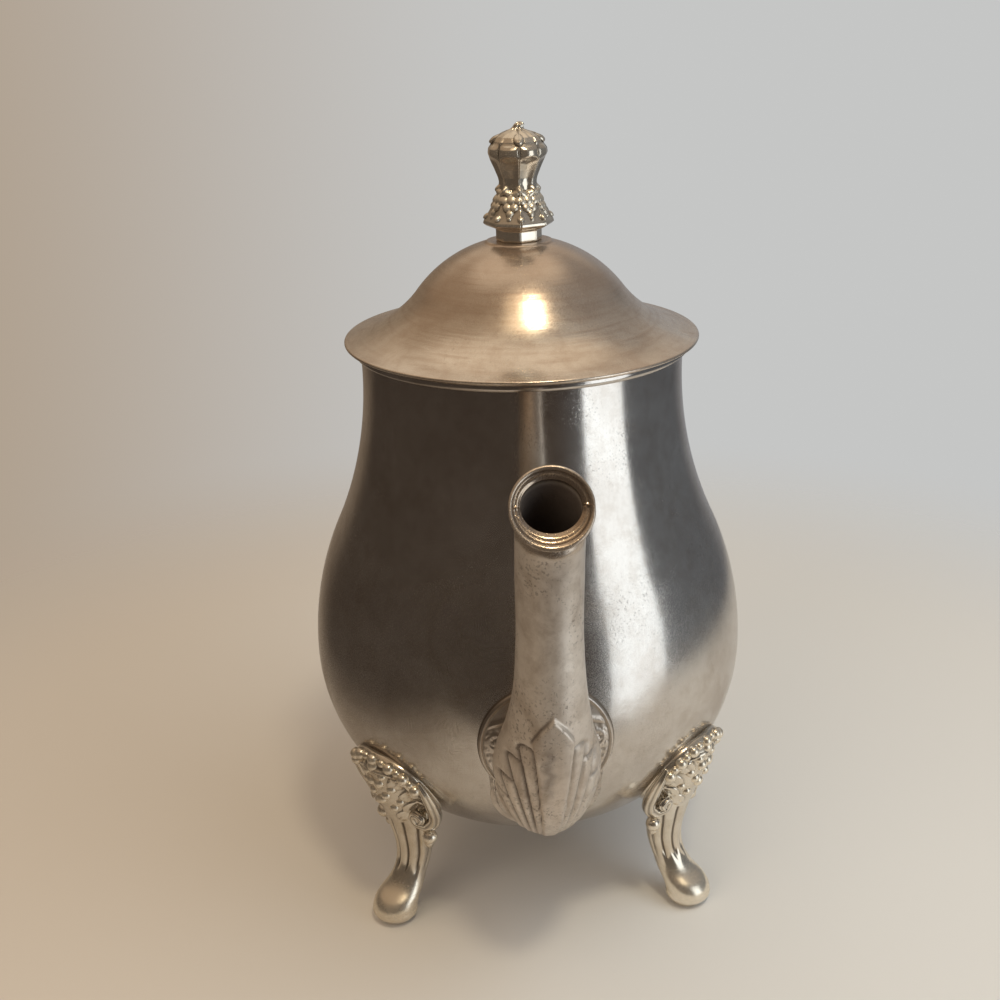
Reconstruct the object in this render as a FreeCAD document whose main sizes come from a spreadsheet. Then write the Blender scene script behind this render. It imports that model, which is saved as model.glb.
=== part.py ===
# Silver-plated coffee pot on four cast feet: a spun body and lid with soldered, screwed and hinged pieces.
# The pot's axis is Z, the spout points along +X and the soles stand on Z = 0. Lengths are millimetres.
import FreeCAD, Part
import math
import os
import re

import Sketcher
from FreeCAD import Placement, Rotation, Vector

doc = FreeCAD.newDocument("CoffeePot")

# Driving sizes, in millimetres and degrees. Heights are above the soles, radii are from the pot's axis.
sizes = {
    # Spun body: a pear-shaped shell of three tangent arcs
    "belly_radius": 70.0,
    "belly_height": 80.0,
    "neck_radius": 49.5,
    "neck_drop": 8.5,
    "mouth_height": 181.0,
    "shoulder_arc": 98.0,
    "base_radius": 30.0,
    "base_height": 24.5,
    "body_wall": 1.0,
    "body_seam_rise": 3.5,
    "base_thickness": 1.5,
    "ring_width": 1.2,
    "ring_height": 2.6,
    # Fits: the film of solder between fixed pieces, and the play of moving ones
    "solder_gap": 0.05,
    "running_gap": 0.05,
    "side_play": 0.3,
    # Lid: a dome that flares into a flat rim, with a bezel that drops into the mouth
    "lid_radius": 54.0,
    "lid_rise": 29.2,
    "lid_wall": 1.0,
    "lid_seat_gap": 0.3,
    "dome_radius": 40.0,
    "flare_angle": 10.0,
    "finial_seat_radius": 10.0,
    "finial_seat_drop": 0.8,
    "bezel_clearance": 1.0,
    "bezel_wall": 1.0,
    "bezel_depth": 8.0,
    # Fixing of the finial
    "stud_radius": 2.0,
    "stud_reach": 12.0,
    "stud_tail": 1.5,
    "washer_radius": 6.5,
    "washer_thickness": 1.0,
    "nut_radius": 4.6,
    "nut_height": 3.2,
    # Strainer drilled behind the spout
    "strainer_height": 72.0,
    "strainer_hole_radius": 2.0,
    "strainer_ring_radius": 7.5,
    # Ornamental plate round the spout's root
    "plate_radius": 20.0,
    "plate_rise": 5.5,
    "plate_thickness": 1.5,
    "plate_bore_radius": 12.0,
    # Spout casting
    "spout_wall": 1.4,
    "spout_floor_height": 56.0,
    "spout_floor_inset": 1.0,
    "lip_bore_radius": 8.3,
    "seam_height": 94.0,
    # Foot castings
    "foot_spread": 47.5,
    "foot_plate_thickness": 3.2,
    "foot_plate_edge": 1.0,
    "foot_plate_half_width": 16.0,
    "foot_plate_top": 55.5,
    "foot_plate_crown": 8.0,
    "foot_plate_brow": 56.0,
    "foot_plate_side": 45.0,
    "foot_plate_foot": 36.0,
    "foot_plate_toe_width": 9.0,
    "volute_radius": 4.6,
    "volute_height": 39.0,
    "volute_side": 11.0,
    "volute_stand": 4.0,
    # Hinge
    "pin_radius": 1.2,
    "knuckle_radius": 3.0,
    "hinge_half_width": 10.0,
    "centre_knuckle_half_width": 4.0,
    "hinge_lid_gap": 0.5,
    "hinge_plate_depth": 9.0,
    "lid_leaf_length": 13.5,
    "lid_leaf_thickness": 3.0,
    "lid_leaf_slope": 14.0,
    # Handle with its sockets and heat breaks
    "handle_drop": 20.0,
    "handle_gap": 24.5,
    "handle_lead": 3.0,
    "handle_lean": 18.0,
    "handle_foot_rise": 10.0,
    "handle_lower_arc": 24.0,
    "handle_lower_turn": 60.0,
    "handle_half_width": 5.6,
    "handle_half_depth": 4.4,
    "socket_length": 12.0,
    "socket_root_radius": 10.0,
    "socket_end_radius": 7.0,
    "socket_root_depth": 10.0,
    "insulator_thickness": 4.0,
    "spigot_radius": 2.9,
    "spigot_length": 7.0,
    "cross_pin_radius": 0.8,
}

# Spout sections from the shell's tip to the lip:
# centre beyond the belly, height, tilt, half depth and half width.
spout_sections = {
    "tip": (-28.0, 37.0, 0.0, 9.0, 4.0),
    "keel": (-18.0, 48.0, 0.0, 19.6, 11.5),
    "bowl": (-9.0, 60.0, 0.0, 22.5, 14.8),
    "shell": (0.0, 75.0, 0.0, 20.0, 15.6),
    "throat": (8.0, 90.0, 0.0, 15.0, 12.4),
    "stem_foot": (13.0, 104.0, 2.0, 10.4, 10.2),
    "stem": (14.5, 120.0, 4.0, 9.2, 9.15),
    "stem_top": (16.5, 140.0, 9.0, 9.2, 9.15),
    "crook": (20.4, 154.0, 30.0, 9.2, 9.15),
    "collar": (24.8, 161.4, 55.0, 9.5, 9.45),
    "lip": (26.4, 162.5, 58.0, 10.95, 10.9),
}

# Foot sections from the sole to the brow: centre within the belly, height, half depth, half width.
foot_sections = {
    "sole": (4.8, 0.0, 4.8, 5.2),
    "toe": (4.9, 5.0, 7.0, 7.4),
    "instep": (9.6, 11.0, 5.9, 6.3),
    "ankle": (13.6, 18.0, 5.2, 5.8),
    "shin": (14.2, 26.0, 5.5, 6.9),
    "calf": (12.8, 34.0, 5.8, 9.0),
    "knee": (11.6, 43.0, 7.6, 10.2),
    "brow": (10.0, 52.0, 9.4, 10.4),
    "crest": (6.4, 60.0, 6.4, 7.4),
}

# Finial sections: height above the lid's seat, and the octagon's corner radius.
finial_sections = {
    "collar_foot": (0.0, 6.9),
    "collar_top": (3.5, 6.9),
    "calyx_rim": (5.3, 10.8),
    "calyx_band": (7.3, 9.6),
    "leaf_top": (13.8, 6.4),
    "waist": (16.2, 5.4),
    "bud_side": (25.2, 8.6),
    "bud_shoulder": (29.9, 7.0),
    "bud_top": (31.9, 3.2),
    "bud_tip": (34.3, 1.4),
}

section_fields = {
    "spout": (spout_sections, ("reach", "height", "tilt", "depth", "width")),
    "foot": (foot_sections, ("inset", "height", "depth", "width")),
    "finial": (finial_sections, ("height", "radius")),
}
for piece, (sections, fields) in section_fields.items():
    for section, numbers in sections.items():
        for field, number in zip(fields, numbers):
            sizes[f"{piece}_{section}_{field}"] = number

sheet = doc.addObject("Spreadsheet::Sheet", "Sizes")
for row, (name, size) in enumerate(sizes.items(), start=1):
    sheet.set(f"A{row}", name)
    sheet.set(f"B{row}", str(size))
    sheet.setAlias(f"B{row}", name)
doc.recompute()

worked = doc.addObject("App::VarSet", "Worked")


# Writes each bare size name in an expression as a cell of the sheet or a worked-out size.
def full(expression):
    def owner(match):
        word = match.group()
        if word in sizes:
            return "Sizes." + word
        if word in worked.PropertiesList:
            return "Worked." + word
        return word
    return re.sub(r"[a-z][a-z_0-9]*", owner, expression)


def value(expression):
    return float(worked.evalExpression(full(expression)))


def work_out(name, expression):
    worked.addProperty("App::PropertyFloat", name)
    worked.setExpression(name, full(expression))
    worked.recompute()


# Body arcs: the shoulder and neck arcs meet where the pear's side bends the other way.
work_out("neck_height", "mouth_height - neck_drop")
work_out("swell", "belly_radius - neck_radius")
work_out("climb", "neck_height - belly_height")
work_out("arc_sum", "(swell ^ 2 + climb ^ 2) / (2 * swell)")
work_out("neck_arc", "arc_sum - shoulder_arc")
work_out("shoulder_centre", "belly_radius - shoulder_arc")
work_out("bend_radius", "shoulder_centre + (arc_sum - swell) * shoulder_arc / arc_sum")
work_out("bend_height", "belly_height + climb * shoulder_arc / arc_sum")
work_out("base_inset", "belly_radius - base_radius")
work_out("base_drop", "belly_height - base_height")
work_out("bowl_arc", "(base_inset ^ 2 + base_drop ^ 2) / (2 * base_inset)")
work_out("bowl_centre", "belly_radius - bowl_arc")
work_out("strainer_top", "strainer_height + strainer_ring_radius + strainer_hole_radius")
work_out("body_seam", "max(belly_height; strainer_top) + body_seam_rise")


# Radius of the neck's side at a height, for a wall that stands proud of the outer face by some amount.
def neck_side(height, proud):
    rise = f"(({height}) - neck_height)"
    return f"neck_radius + neck_arc - sqrt((neck_arc - ({proud})) ^ 2 - {rise} ^ 2)"


# Radius of the bowl's side at a height below the belly, for a wall that stands proud by some amount.
def bowl_side(height, proud):
    return f"bowl_centre + sqrt((bowl_arc + ({proud})) ^ 2 - (belly_height - ({height})) ^ 2)"


# Radius of the shoulder's side at a height above the belly, for a wall that stands proud by some amount.
def shoulder_side(height, proud):
    return f"shoulder_centre + sqrt((shoulder_arc + ({proud})) ^ 2 - (({height}) - belly_height) ^ 2)"


work_out("mouth_radius", neck_side("mouth_height", "0"))
work_out("neck_bore", "neck_radius - body_wall")
work_out("ring_bore", "mouth_radius + solder_gap")
work_out("ring_reach", "ring_bore + ring_width")
ring_roundness = 0.6
work_out("ring_arc", f"{ring_roundness} * ring_height")
work_out("ring_bulge", "ring_arc - sqrt(ring_arc ^ 2 - ring_height ^ 2 / 4)")

# Lid arcs: the flare leaves the rim at its angle and meets the dome on the line of the two centres.
work_out("rim_height", "mouth_height + lid_seat_gap + lid_wall * cos(flare_angle)")
work_out("dome_centre", "rim_height + lid_rise - dome_radius")
work_out("rim_drop", "rim_height - dome_centre")
work_out("rim_lean", "lid_radius * sin(flare_angle) + rim_drop * cos(flare_angle)")
work_out("rim_span", "lid_radius ^ 2 + rim_drop ^ 2 - dome_radius ^ 2")
work_out("flare_arc", "rim_span / (2 * (dome_radius - rim_lean))")
work_out("flare_centre_radius", "lid_radius + flare_arc * sin(flare_angle)")
work_out("flare_centre_height", "rim_height + flare_arc * cos(flare_angle)")
work_out("dome_share", "dome_radius / (dome_radius + flare_arc)")
work_out("seat_height", "dome_centre + dome_radius - finial_seat_drop")
work_out("bezel_radius", "neck_bore - bezel_clearance")
work_out("stud_bore", "stud_radius + solder_gap")

# Hinge axis behind the lid's rim, level with the rim's top edge.
work_out("hinge_reach", "lid_radius + hinge_lid_gap + knuckle_radius")

# Handle line: a lead out of the upper socket, an arc over to the side, a bowed back, an arc in to the belly.
work_out("handle_top", "mouth_height - handle_drop")
work_out("upper_seat", neck_side("handle_top", "0"))
work_out("upper_end", "upper_seat + socket_length + insulator_thickness")
work_out("handle_side", "belly_radius + handle_gap")
work_out("handle_upper_arc", "(handle_side - upper_end - handle_lead) / cos(handle_lean)")
work_out("upper_side_height", "handle_top - handle_upper_arc * (1 - sin(handle_lean))")
work_out("lower_end_height", "belly_height + handle_foot_rise")
work_out("lower_sweep", "sin(handle_lower_turn) - sin(handle_lean)")
work_out("lower_side_height", "lower_end_height + handle_lower_arc * lower_sweep")
work_out("lower_draw", "cos(handle_lean) - cos(handle_lower_turn)")
work_out("lower_end_reach", "handle_side - handle_lower_arc * lower_draw")
work_out("handle_back_arc", "(upper_side_height - lower_side_height) / (2 * sin(handle_lean))")
work_out("lower_stand", "(lower_end_reach - belly_radius) / sin(handle_lower_turn)")
work_out("lower_socket_run", "lower_stand + socket_root_depth - insulator_thickness")


def bind(part, bindings):
    for target, expression in bindings.items():
        part.setExpression(target, full(expression))


# Sets a part's place from expressions; a turn is an axis and an angle.
def place(part, x="0", y="0", z="0", axis=Vector(0, 0, 1), angle="0"):
    part.Placement = Placement(Vector(0, 0, 0), Rotation(axis, 1))
    bind(part, {"Placement.Base.x": x, "Placement.Base.y": y, "Placement.Base.z": z})
    bind(part, {"Placement.Rotation.Angle": angle})


def primitive(kind, name, bindings):
    part = doc.addObject("Part::" + kind, name)
    bind(part, bindings)
    return part


def rod_along_x(name, radius, start, length, height="0"):
    rod = primitive("Cylinder", name, {"Radius": radius, "Height": length})
    place(rod, x=start, z=height, axis=Vector(0, 1, 0), angle="90")
    return rod


# A rod across the pot, centred on the XZ plane unless a start is given.
def rod_along_y(name, radius, start, length, reach="0", height="0"):
    rod = primitive("Cylinder", name, {"Radius": radius, "Height": length})
    place(rod, x=reach, y=start, z=height, axis=Vector(1, 0, 0), angle="-90")
    return rod


def rod_along_z(name, radius, start, length):
    rod = primitive("Cylinder", name, {"Radius": radius, "Height": length})
    place(rod, z=start)
    return rod


def cut(name, base, tool):
    result = doc.addObject("Part::Cut", name)
    result.Base = base
    result.Tool = tool
    return result


def fuse(name, parts):
    result = doc.addObject("Part::MultiFuse", name)
    result.Shapes = parts
    return result


def common(name, parts):
    result = doc.addObject("Part::MultiCommon", name)
    result.Shapes = parts
    return result


# Centre of the arc from first to last: on the left of the chord for a turn of 1, on the right for -1.
def arc_centre(first, last, radius, turn):
    chord = last - first
    side = Vector(-chord.y, chord.x, 0) * (turn / chord.Length)
    return (first + last) * 0.5 + side * math.sqrt(max(radius ** 2 - chord.Length ** 2 / 4, 0))


# Draws an outline on a plane of the body. A corner is (across, up), and with (radius, turn) an arc leaves it.
def draw(body, plane_role, name, corners, closed=True):
    sketch = body.newObject("Sketcher::SketchObject", name)
    plane = next(feature for feature in body.Origin.OriginFeatures if feature.Role == plane_role)
    sketch.AttachmentSupport = [(plane, "")]
    sketch.MapMode = "FlatFace"
    spots = [Vector(value(corner[0]), value(corner[1]), 0) for corner in corners]
    count = len(corners) if closed else len(corners) - 1
    starts = []
    ends = []
    for index in range(count):
        first = spots[index]
        last = spots[(index + 1) % len(corners)]
        if len(corners[index]) == 2:
            edge = sketch.addGeometry(Part.LineSegment(first, last), False)
            starts.append((edge, 1))
            ends.append((edge, 2))
            continue
        radius, turn = corners[index][2:]
        centre = arc_centre(first, last, value(radius), turn)
        begin, finish = (first, last) if turn > 0 else (last, first)
        angles = [math.atan2(spot.y - centre.y, spot.x - centre.x) for spot in (begin, finish)]
        circle = Part.Circle(centre, Vector(0, 0, 1), value(radius))
        edge = sketch.addGeometry(Part.ArcOfCircle(circle, *angles), False)
        starts.append((edge, 1 if turn > 0 else 2))
        ends.append((edge, 2 if turn > 0 else 1))
        number = sketch.addConstraint(Sketcher.Constraint("Radius", edge, value(radius)))
        sketch.setExpression(f"Constraints[{number}]", full(radius))
    for index in range(0 if closed else 1, count):
        sketch.addConstraint(Sketcher.Constraint("Coincident", *ends[index - 1], *starts[index]))
    held = starts if closed else starts + [ends[-1]]
    for corner, spot in zip(corners, held):
        hold(sketch, spot, "DistanceX", corner[0], -2)
        hold(sketch, spot, "DistanceY", corner[1], -1)
    return sketch


# Holds a sketch point at its distance from the sketch's origin along one axis.
def hold(sketch, spot, kind, expression, zero_line):
    distance = value(expression)
    if expression == "0":
        sketch.addConstraint(Sketcher.Constraint("PointOnObject", *spot, zero_line))
        return
    if distance < 0:
        number = sketch.addConstraint(Sketcher.Constraint(kind, *spot, -1, 1, -distance))
        sketch.setExpression(f"Constraints[{number}]", full(f"-({expression})"))
        return
    number = sketch.addConstraint(Sketcher.Constraint(kind, -1, 1, *spot, distance))
    sketch.setExpression(f"Constraints[{number}]", full(expression))


# A piece spun round the pot's axis from its outline.
def spun(name, corners):
    body = doc.addObject("PartDesign::Body", name)
    sketch = draw(body, "XZ_Plane", name + "_outline", corners)
    spin = body.newObject("PartDesign::Revolution", name + "_spin")
    spin.Profile = sketch
    spin.ReferenceAxis = (sketch, ["V_Axis"])
    spin.Angle = 360
    return body


# A loft through sections that are already placed.
def loft(name, sections, ruled=False):
    result = doc.addObject("Part::Loft", name)
    result.Sections = sections
    result.Solid = True
    result.Ruled = ruled
    return result


# Corners of the body's side from belly to mouth, standing proud of the outer face by some amount.
def bend_corner(proud):
    share = f"(1 + ({proud}) / shoulder_arc)"
    across = f"shoulder_centre + (bend_radius - shoulder_centre) * {share}"
    up = f"belly_height + (bend_height - belly_height) * {share}"
    return across, up


# The filled body grown by some amount: the form that fittings are seated on.
def body_form(name, proud):
    floor = f"base_height - ({proud})"
    return spun(name, [
        ("0", floor),
        (bowl_side(floor, proud), floor, f"bowl_arc + ({proud})", 1),
        (f"belly_radius + ({proud})", "belly_height", f"shoulder_arc + ({proud})", 1),
        (*bend_corner(proud), f"neck_arc - ({proud})", -1),
        (neck_side("mouth_height", proud), "mouth_height"),
        ("0", "mouth_height"),
    ])


# A node is a finished piece with its own name and place, turned about the pot's axis where needed.
nodes = {}


def node(label, part, turn="0"):
    if turn != "0":
        turned = doc.addObject("Part::Compound", label + "_placed")
        turned.Links = [part]
        place(turned, angle=turn)
        part = turned
    part.Label = label
    nodes[label] = part


# Pot body: two spinnings soldered together above the strainer, which is drilled in the bowl
inner_bend = bend_corner("-body_wall")
bowl_shell = spun("bowl_shell", [
    ("base_radius", "base_height", "bowl_arc", 1),
    ("belly_radius", "belly_height", "shoulder_arc", 1),
    (shoulder_side("body_seam", "0"), "body_seam"),
    (shoulder_side("body_seam", "-body_wall"), "body_seam", "shoulder_arc - body_wall", -1),
    ("belly_radius - body_wall", "belly_height", "bowl_arc - body_wall", -1),
    ("base_radius", "belly_height - sqrt((bowl_arc - body_wall) ^ 2 - (base_radius - bowl_centre) ^ 2)"),
])
neck_foot = "body_seam + solder_gap"
node("pot_neck", spun("neck_shell", [
    (shoulder_side(neck_foot, "0"), neck_foot, "shoulder_arc", 1),
    ("bend_radius", "bend_height", "neck_arc", -1),
    ("mouth_radius", "mouth_height"),
    (neck_side("mouth_height", "-body_wall"), "mouth_height", "neck_arc + body_wall", 1),
    (*inner_bend, "shoulder_arc - body_wall", -1),
    (shoulder_side(neck_foot, "-body_wall"), neck_foot),
]))
strainer_count = 6
drills = [rod_along_x(
    "strainer_drill", "strainer_hole_radius", "base_radius", "belly_radius", "strainer_height")]
for hole in range(strainer_count):
    angle = hole * 360 / strainer_count
    drill = primitive("Cylinder", f"strainer_drill_{hole}", {"Radius": "strainer_hole_radius"})
    bind(drill, {"Height": "belly_radius"})
    height = f"strainer_height + strainer_ring_radius * cos({angle})"
    across = f"strainer_ring_radius * sin({angle})"
    place(drill, x="base_radius", y=across, z=height, axis=Vector(0, 1, 0), angle="90")
    drills.append(drill)
node("pot_bowl", cut("bowl_drilled", bowl_shell, fuse("strainer_drills", drills)))

# Base disc soldered into the bowl's opening
node("base_disc", spun("base_plate", [
    ("0", "base_height"),
    ("base_radius - solder_gap", "base_height"),
    ("base_radius - solder_gap", "base_height + base_thickness"),
    ("0", "base_height + base_thickness"),
]))

# Mouth ring: a half-round ring outside the mouth
node("mouth_ring", spun("rim_ring", [
    ("ring_bore", "mouth_height - ring_height"),
    ("ring_reach", "mouth_height - ring_height", "ring_arc", 1),
    ("ring_reach", "mouth_height"),
    ("ring_bore", "mouth_height"),
]))

seated_form = body_form("seated_form", "solder_gap")


# Corners of the lid's face, standing proud of it by some amount.
def rim_corner(proud):
    return f"lid_radius + ({proud}) * sin(flare_angle)", f"rim_height + ({proud}) * cos(flare_angle)"


def joint_corner(proud):
    share = f"(dome_share * (1 + ({proud}) / dome_radius))"
    return f"flare_centre_radius * {share}", f"dome_centre + (flare_centre_height - dome_centre) * {share}"


def dome_at(radius, proud):
    return f"dome_centre + sqrt((dome_radius + ({proud})) ^ 2 - ({radius}) ^ 2)"


# Lid dome, with a flat seat for the finial and a hole for its stud
inner_dome = "(dome_radius - lid_wall)"
seat_flat = f"sqrt({inner_dome} ^ 2 - ({inner_dome} - finial_seat_drop) ^ 2)"
node("lid_dome", spun("lid_shell", [
    ("stud_bore", "seat_height"),
    ("finial_seat_radius", "seat_height"),
    ("finial_seat_radius", dome_at("finial_seat_radius", "0"), "dome_radius", -1),
    (*joint_corner("0"), "flare_arc", 1),
    rim_corner("0"),
    (*rim_corner("-lid_wall"), "flare_arc + lid_wall", -1),
    (*joint_corner("-lid_wall"), "dome_radius - lid_wall", 1),
    (seat_flat, "seat_height - lid_wall"),
    ("stud_bore", "seat_height - lid_wall"),
]))

# Lid bezel, up to the underside of the flare
flare_drop = "sqrt((flare_arc + lid_wall) ^ 2 - (flare_centre_radius - bezel_radius) ^ 2)"
work_out("bezel_top", f"flare_centre_height - {flare_drop} - solder_gap")
node("lid_bezel", spun("bezel_ring", [
    ("bezel_radius - bezel_wall", "mouth_height - bezel_depth"),
    ("bezel_radius", "mouth_height - bezel_depth"),
    ("bezel_radius", "bezel_top"),
    ("bezel_radius - bezel_wall", "bezel_top"),
]))

# Finial: an octagonal casting with a blind hole for its stud
octagon_sides = 8
octagons = []
for section in finial_sections:
    octagon = doc.addObject("Part::RegularPolygon", f"finial_{section}")
    octagon.Polygon = octagon_sides
    bind(octagon, {"Circumradius": f"finial_{section}_radius"})
    place(octagon, z=f"seat_height + finial_{section}_height")
    octagons.append(octagon)
finial_casting = loft("finial_casting", octagons, ruled=True)
stud_hole = rod_along_z("stud_hole", "stud_bore", "seat_height", "stud_reach + solder_gap")
node("finial", cut("finial_bored", finial_casting, stud_hole))

# Stud, washer and nut under the dome
work_out("washer_top", "seat_height - lid_wall - solder_gap")
work_out("nut_top", "washer_top - washer_thickness")
work_out("stud_foot", "nut_top - nut_height - stud_tail")
node("finial_stud", rod_along_z("stud", "stud_radius", "stud_foot", "seat_height + stud_reach - stud_foot"))
node("finial_washer", spun("washer", [
    ("stud_bore", "nut_top"),
    ("washer_radius", "nut_top"),
    ("washer_radius", "washer_top"),
    ("stud_bore", "washer_top"),
]))
nut_blank = primitive("Prism", "nut_blank", {"Circumradius": "nut_radius", "Height": "nut_height"})
place(nut_blank, z="nut_top - nut_height")
nut_hole = rod_along_z("nut_hole", "stud_bore", "stud_foot", "nut_top + stud_tail - stud_foot")
node("finial_nut", cut("nut_bored", nut_blank, nut_hole))

# Escutcheon: a curved plate on the body, open round the strainer for the coffee
work_out("plate_height", "strainer_height + plate_rise")
plate_form = body_form("plate_form", "solder_gap + plate_thickness")
plate_rod = rod_along_x("plate_rod", "plate_radius", "0", "2 * belly_radius", "plate_height")
plate_bore = rod_along_x("plate_bore", "plate_bore_radius", "0", "2 * belly_radius", "strainer_height")
plate_blank = cut("plate_blank", common("plate_disc", [plate_form, plate_rod]), seated_form)
node("spout_escutcheon", cut("plate_bored", plate_blank, plate_bore))


# Ellipse across the spout, its long axis in the pot's middle plane.
def oval(name, reach, height, tilt, along, across):
    ring = primitive("Ellipse", name, {"MajorRadius": along, "MinorRadius": across})
    place(ring, x=reach, z=height, axis=Vector(0, 1, 0), angle=tilt)
    return ring


def spout_oval(section, inset, suffix):
    prefix = f"spout_{section}_"
    along = f"{prefix}depth - ({inset})"
    across = f"{prefix}width - ({inset})"
    reach = f"belly_radius + {prefix}reach"
    return oval(prefix + suffix, reach, prefix + "height", prefix + "tilt", along, across)


# Spout: an outer and an inner loft, seated on the body and the escutcheon
spout_outer = loft("spout_outer", [spout_oval(section, "0", "outer") for section in spout_sections])
bore_ovals = [oval(
    "spout_floor", "belly_radius + spout_bowl_reach", "spout_floor_height", "0",
    "spout_bowl_depth - spout_wall - spout_floor_inset", "spout_bowl_width - spout_wall - spout_floor_inset",
)]
for section in ("shell", "throat", "stem_foot", "stem", "stem_top", "crook", "collar"):
    bore_ovals.append(spout_oval(section, "spout_wall", "inner"))
lip_reach = "belly_radius + spout_lip_reach + sin(spout_lip_tilt) * spout_wall / 2"
lip_rise = "spout_lip_height + cos(spout_lip_tilt) * spout_wall / 2"
bore_ovals.append(oval(
    "lip_inner", lip_reach, lip_rise, "spout_lip_tilt", "lip_bore_radius", "lip_bore_radius"))
spout_bore = loft("spout_bore", bore_ovals)
spout_tube = cut("spout_tube", spout_outer, spout_bore)
seat_form = body_form("seat_form", "2 * solder_gap + plate_thickness")
seat_rod = rod_along_x("seat_rod", "plate_radius + solder_gap", "0", "2 * belly_radius", "plate_height")
spout_seat = fuse("spout_seat", [seated_form, common("seat_disc", [seat_form, seat_rod])])
spout_shell = cut("spout_shell", spout_tube, spout_seat)

# The spout's seam follows its centre line down to the plate; the front half lies outside it
seam = doc.addObject("PartDesign::Body", "spout_seam")
seam_corners = [("0", "seam_height")]
for section in ("stem_foot", "stem", "stem_top", "crook", "collar", "lip"):
    seam_corners.append((f"belly_radius + spout_{section}_reach", f"spout_{section}_height"))
seam_far = "belly_radius + 2 * spout_lip_reach"
seam_over_x = "belly_radius + spout_lip_reach + sin(spout_lip_tilt) * spout_lip_depth"
seam_over_z = "spout_lip_height + cos(spout_lip_tilt) * spout_lip_depth"
seam_corners += [(seam_over_x, seam_over_z), (seam_far, seam_over_z), (seam_far, "0"), ("0", "0")]
seam_sketch = draw(seam, "XZ_Plane", "seam_outline", seam_corners)
seam_pad = seam.newObject("PartDesign::Pad", "seam_pad")
seam_pad.Profile = seam_sketch
seam_pad.Midplane = True
bind(seam_pad, {"Length": "2 * belly_radius"})
node("spout_front_half", common("spout_front", [spout_shell, seam]))
node("spout_back_half", cut("spout_back", spout_shell, seam))

# Foot: a lofted leg with a ball toe, a plate curved to the bowl and two volutes
leg_rings = []
for section in foot_sections:
    prefix = f"foot_{section}_"
    ring = primitive("Ellipse", prefix + "ring", {"MajorRadius": prefix + "width"})
    bind(ring, {"MinorRadius": prefix + "depth"})
    place(ring, x=f"belly_radius - {prefix}inset", z=prefix + "height", angle="90")
    leg_rings.append(ring)
leg = loft("leg", leg_rings)
# The plate swells from a thin top edge to its full thickness at the brow
work_out("foot_plate_peak", "foot_plate_top + foot_plate_crown")
work_out("foot_plate_arc", "(foot_plate_half_width ^ 2 / foot_plate_crown + foot_plate_crown) / 2")
work_out("foot_plate_reach", "bowl_arc + foot_plate_thickness")
foot_form = spun("foot_form", [
    ("0", "foot_plate_foot"),
    (bowl_side("foot_plate_foot", "foot_plate_thickness"), "foot_plate_foot", "foot_plate_reach", 1),
    (bowl_side("foot_plate_brow", "foot_plate_thickness"), "foot_plate_brow"),
    (bowl_side("foot_plate_peak", "foot_plate_edge"), "foot_plate_peak"),
    ("0", "foot_plate_peak"),
])
foot_outline = doc.addObject("PartDesign::Body", "foot_outline")
plate_sketch = draw(foot_outline, "YZ_Plane", "foot_plate_outline", [
    ("-foot_plate_toe_width", "foot_plate_foot"),
    ("foot_plate_toe_width", "foot_plate_foot"),
    ("foot_plate_half_width", "foot_plate_side"),
    ("foot_plate_half_width", "foot_plate_top", "foot_plate_arc", 1),
    ("-foot_plate_half_width", "foot_plate_top"),
    ("-foot_plate_half_width", "foot_plate_side"),
])
plate_pad = foot_outline.newObject("PartDesign::Pad", "foot_plate_pad")
plate_pad.Profile = plate_sketch
bind(plate_pad, {"Length": "2 * belly_radius"})
foot_plate = common("foot_plate", [foot_form, foot_outline])
volute_seat = bowl_side("volute_height", "volute_stand")
work_out("volute_reach", f"sqrt(({volute_seat}) ^ 2 - volute_side ^ 2)")
volutes = []
for side, sign in (("left", "1"), ("right", "-1")):
    volute = primitive("Sphere", "volute_" + side, {"Radius": "volute_radius"})
    place(volute, x="volute_reach", y=f"{sign} * volute_side", z="volute_height")
    volutes.append(volute)
foot_casting = cut("foot_casting", fuse("foot_blank", [leg, foot_plate] + volutes), seated_form)
feet = {
    "foot_front_left": "foot_spread",
    "foot_rear_left": "180 - foot_spread",
    "foot_rear_right": "180 + foot_spread",
    "foot_front_right": "-foot_spread",
}
for label, turn in feet.items():
    node(label, foot_casting, turn)

# The hinge and the handle are drawn on the spout's side and turned half round to the back
back = "180"

# Hinge leaf on the pot: a plate under the rim with the two outer knuckles
outer_length = "hinge_half_width - centre_knuckle_half_width"
knuckle_parts = []
for side, start in (("left", "centre_knuckle_half_width"), ("right", "-hinge_half_width")):
    knuckle_parts.append(rod_along_y(
        "knuckle_" + side, "knuckle_radius", start, outer_length, "hinge_reach", "rim_height"))
pot_plate = primitive("Box", "pot_hinge_plate", {
    "Length": "hinge_reach - neck_bore",
    "Width": "2 * hinge_half_width",
    "Height": "hinge_plate_depth",
})
work_out("pot_plate_top", "mouth_height - side_play")
place(pot_plate, x="neck_bore", y="-hinge_half_width", z="pot_plate_top - hinge_plate_depth")
ring_room = "ring_reach + ring_bulge + solder_gap"
ring_form = spun("ring_form", [
    ("0", "mouth_height - ring_height - solder_gap"),
    (ring_room, "mouth_height - ring_height - solder_gap"),
    (ring_room, "mouth_height"),
    ("0", "mouth_height"),
])
knuckle_room = rod_along_y(
    "knuckle_room", "knuckle_radius + 2 * side_play", "-centre_knuckle_half_width",
    "2 * centre_knuckle_half_width", "hinge_reach", "rim_height")
pot_pin_hole = rod_along_y(
    "pot_pin_hole", "pin_radius + running_gap", "-2 * hinge_half_width", "4 * hinge_half_width",
    "hinge_reach", "rim_height")
pot_leaf_room = fuse("pot_leaf_room", [seated_form, ring_form, knuckle_room])
pot_leaf_plate = cut("pot_leaf_plate", pot_plate, pot_leaf_room)
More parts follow.
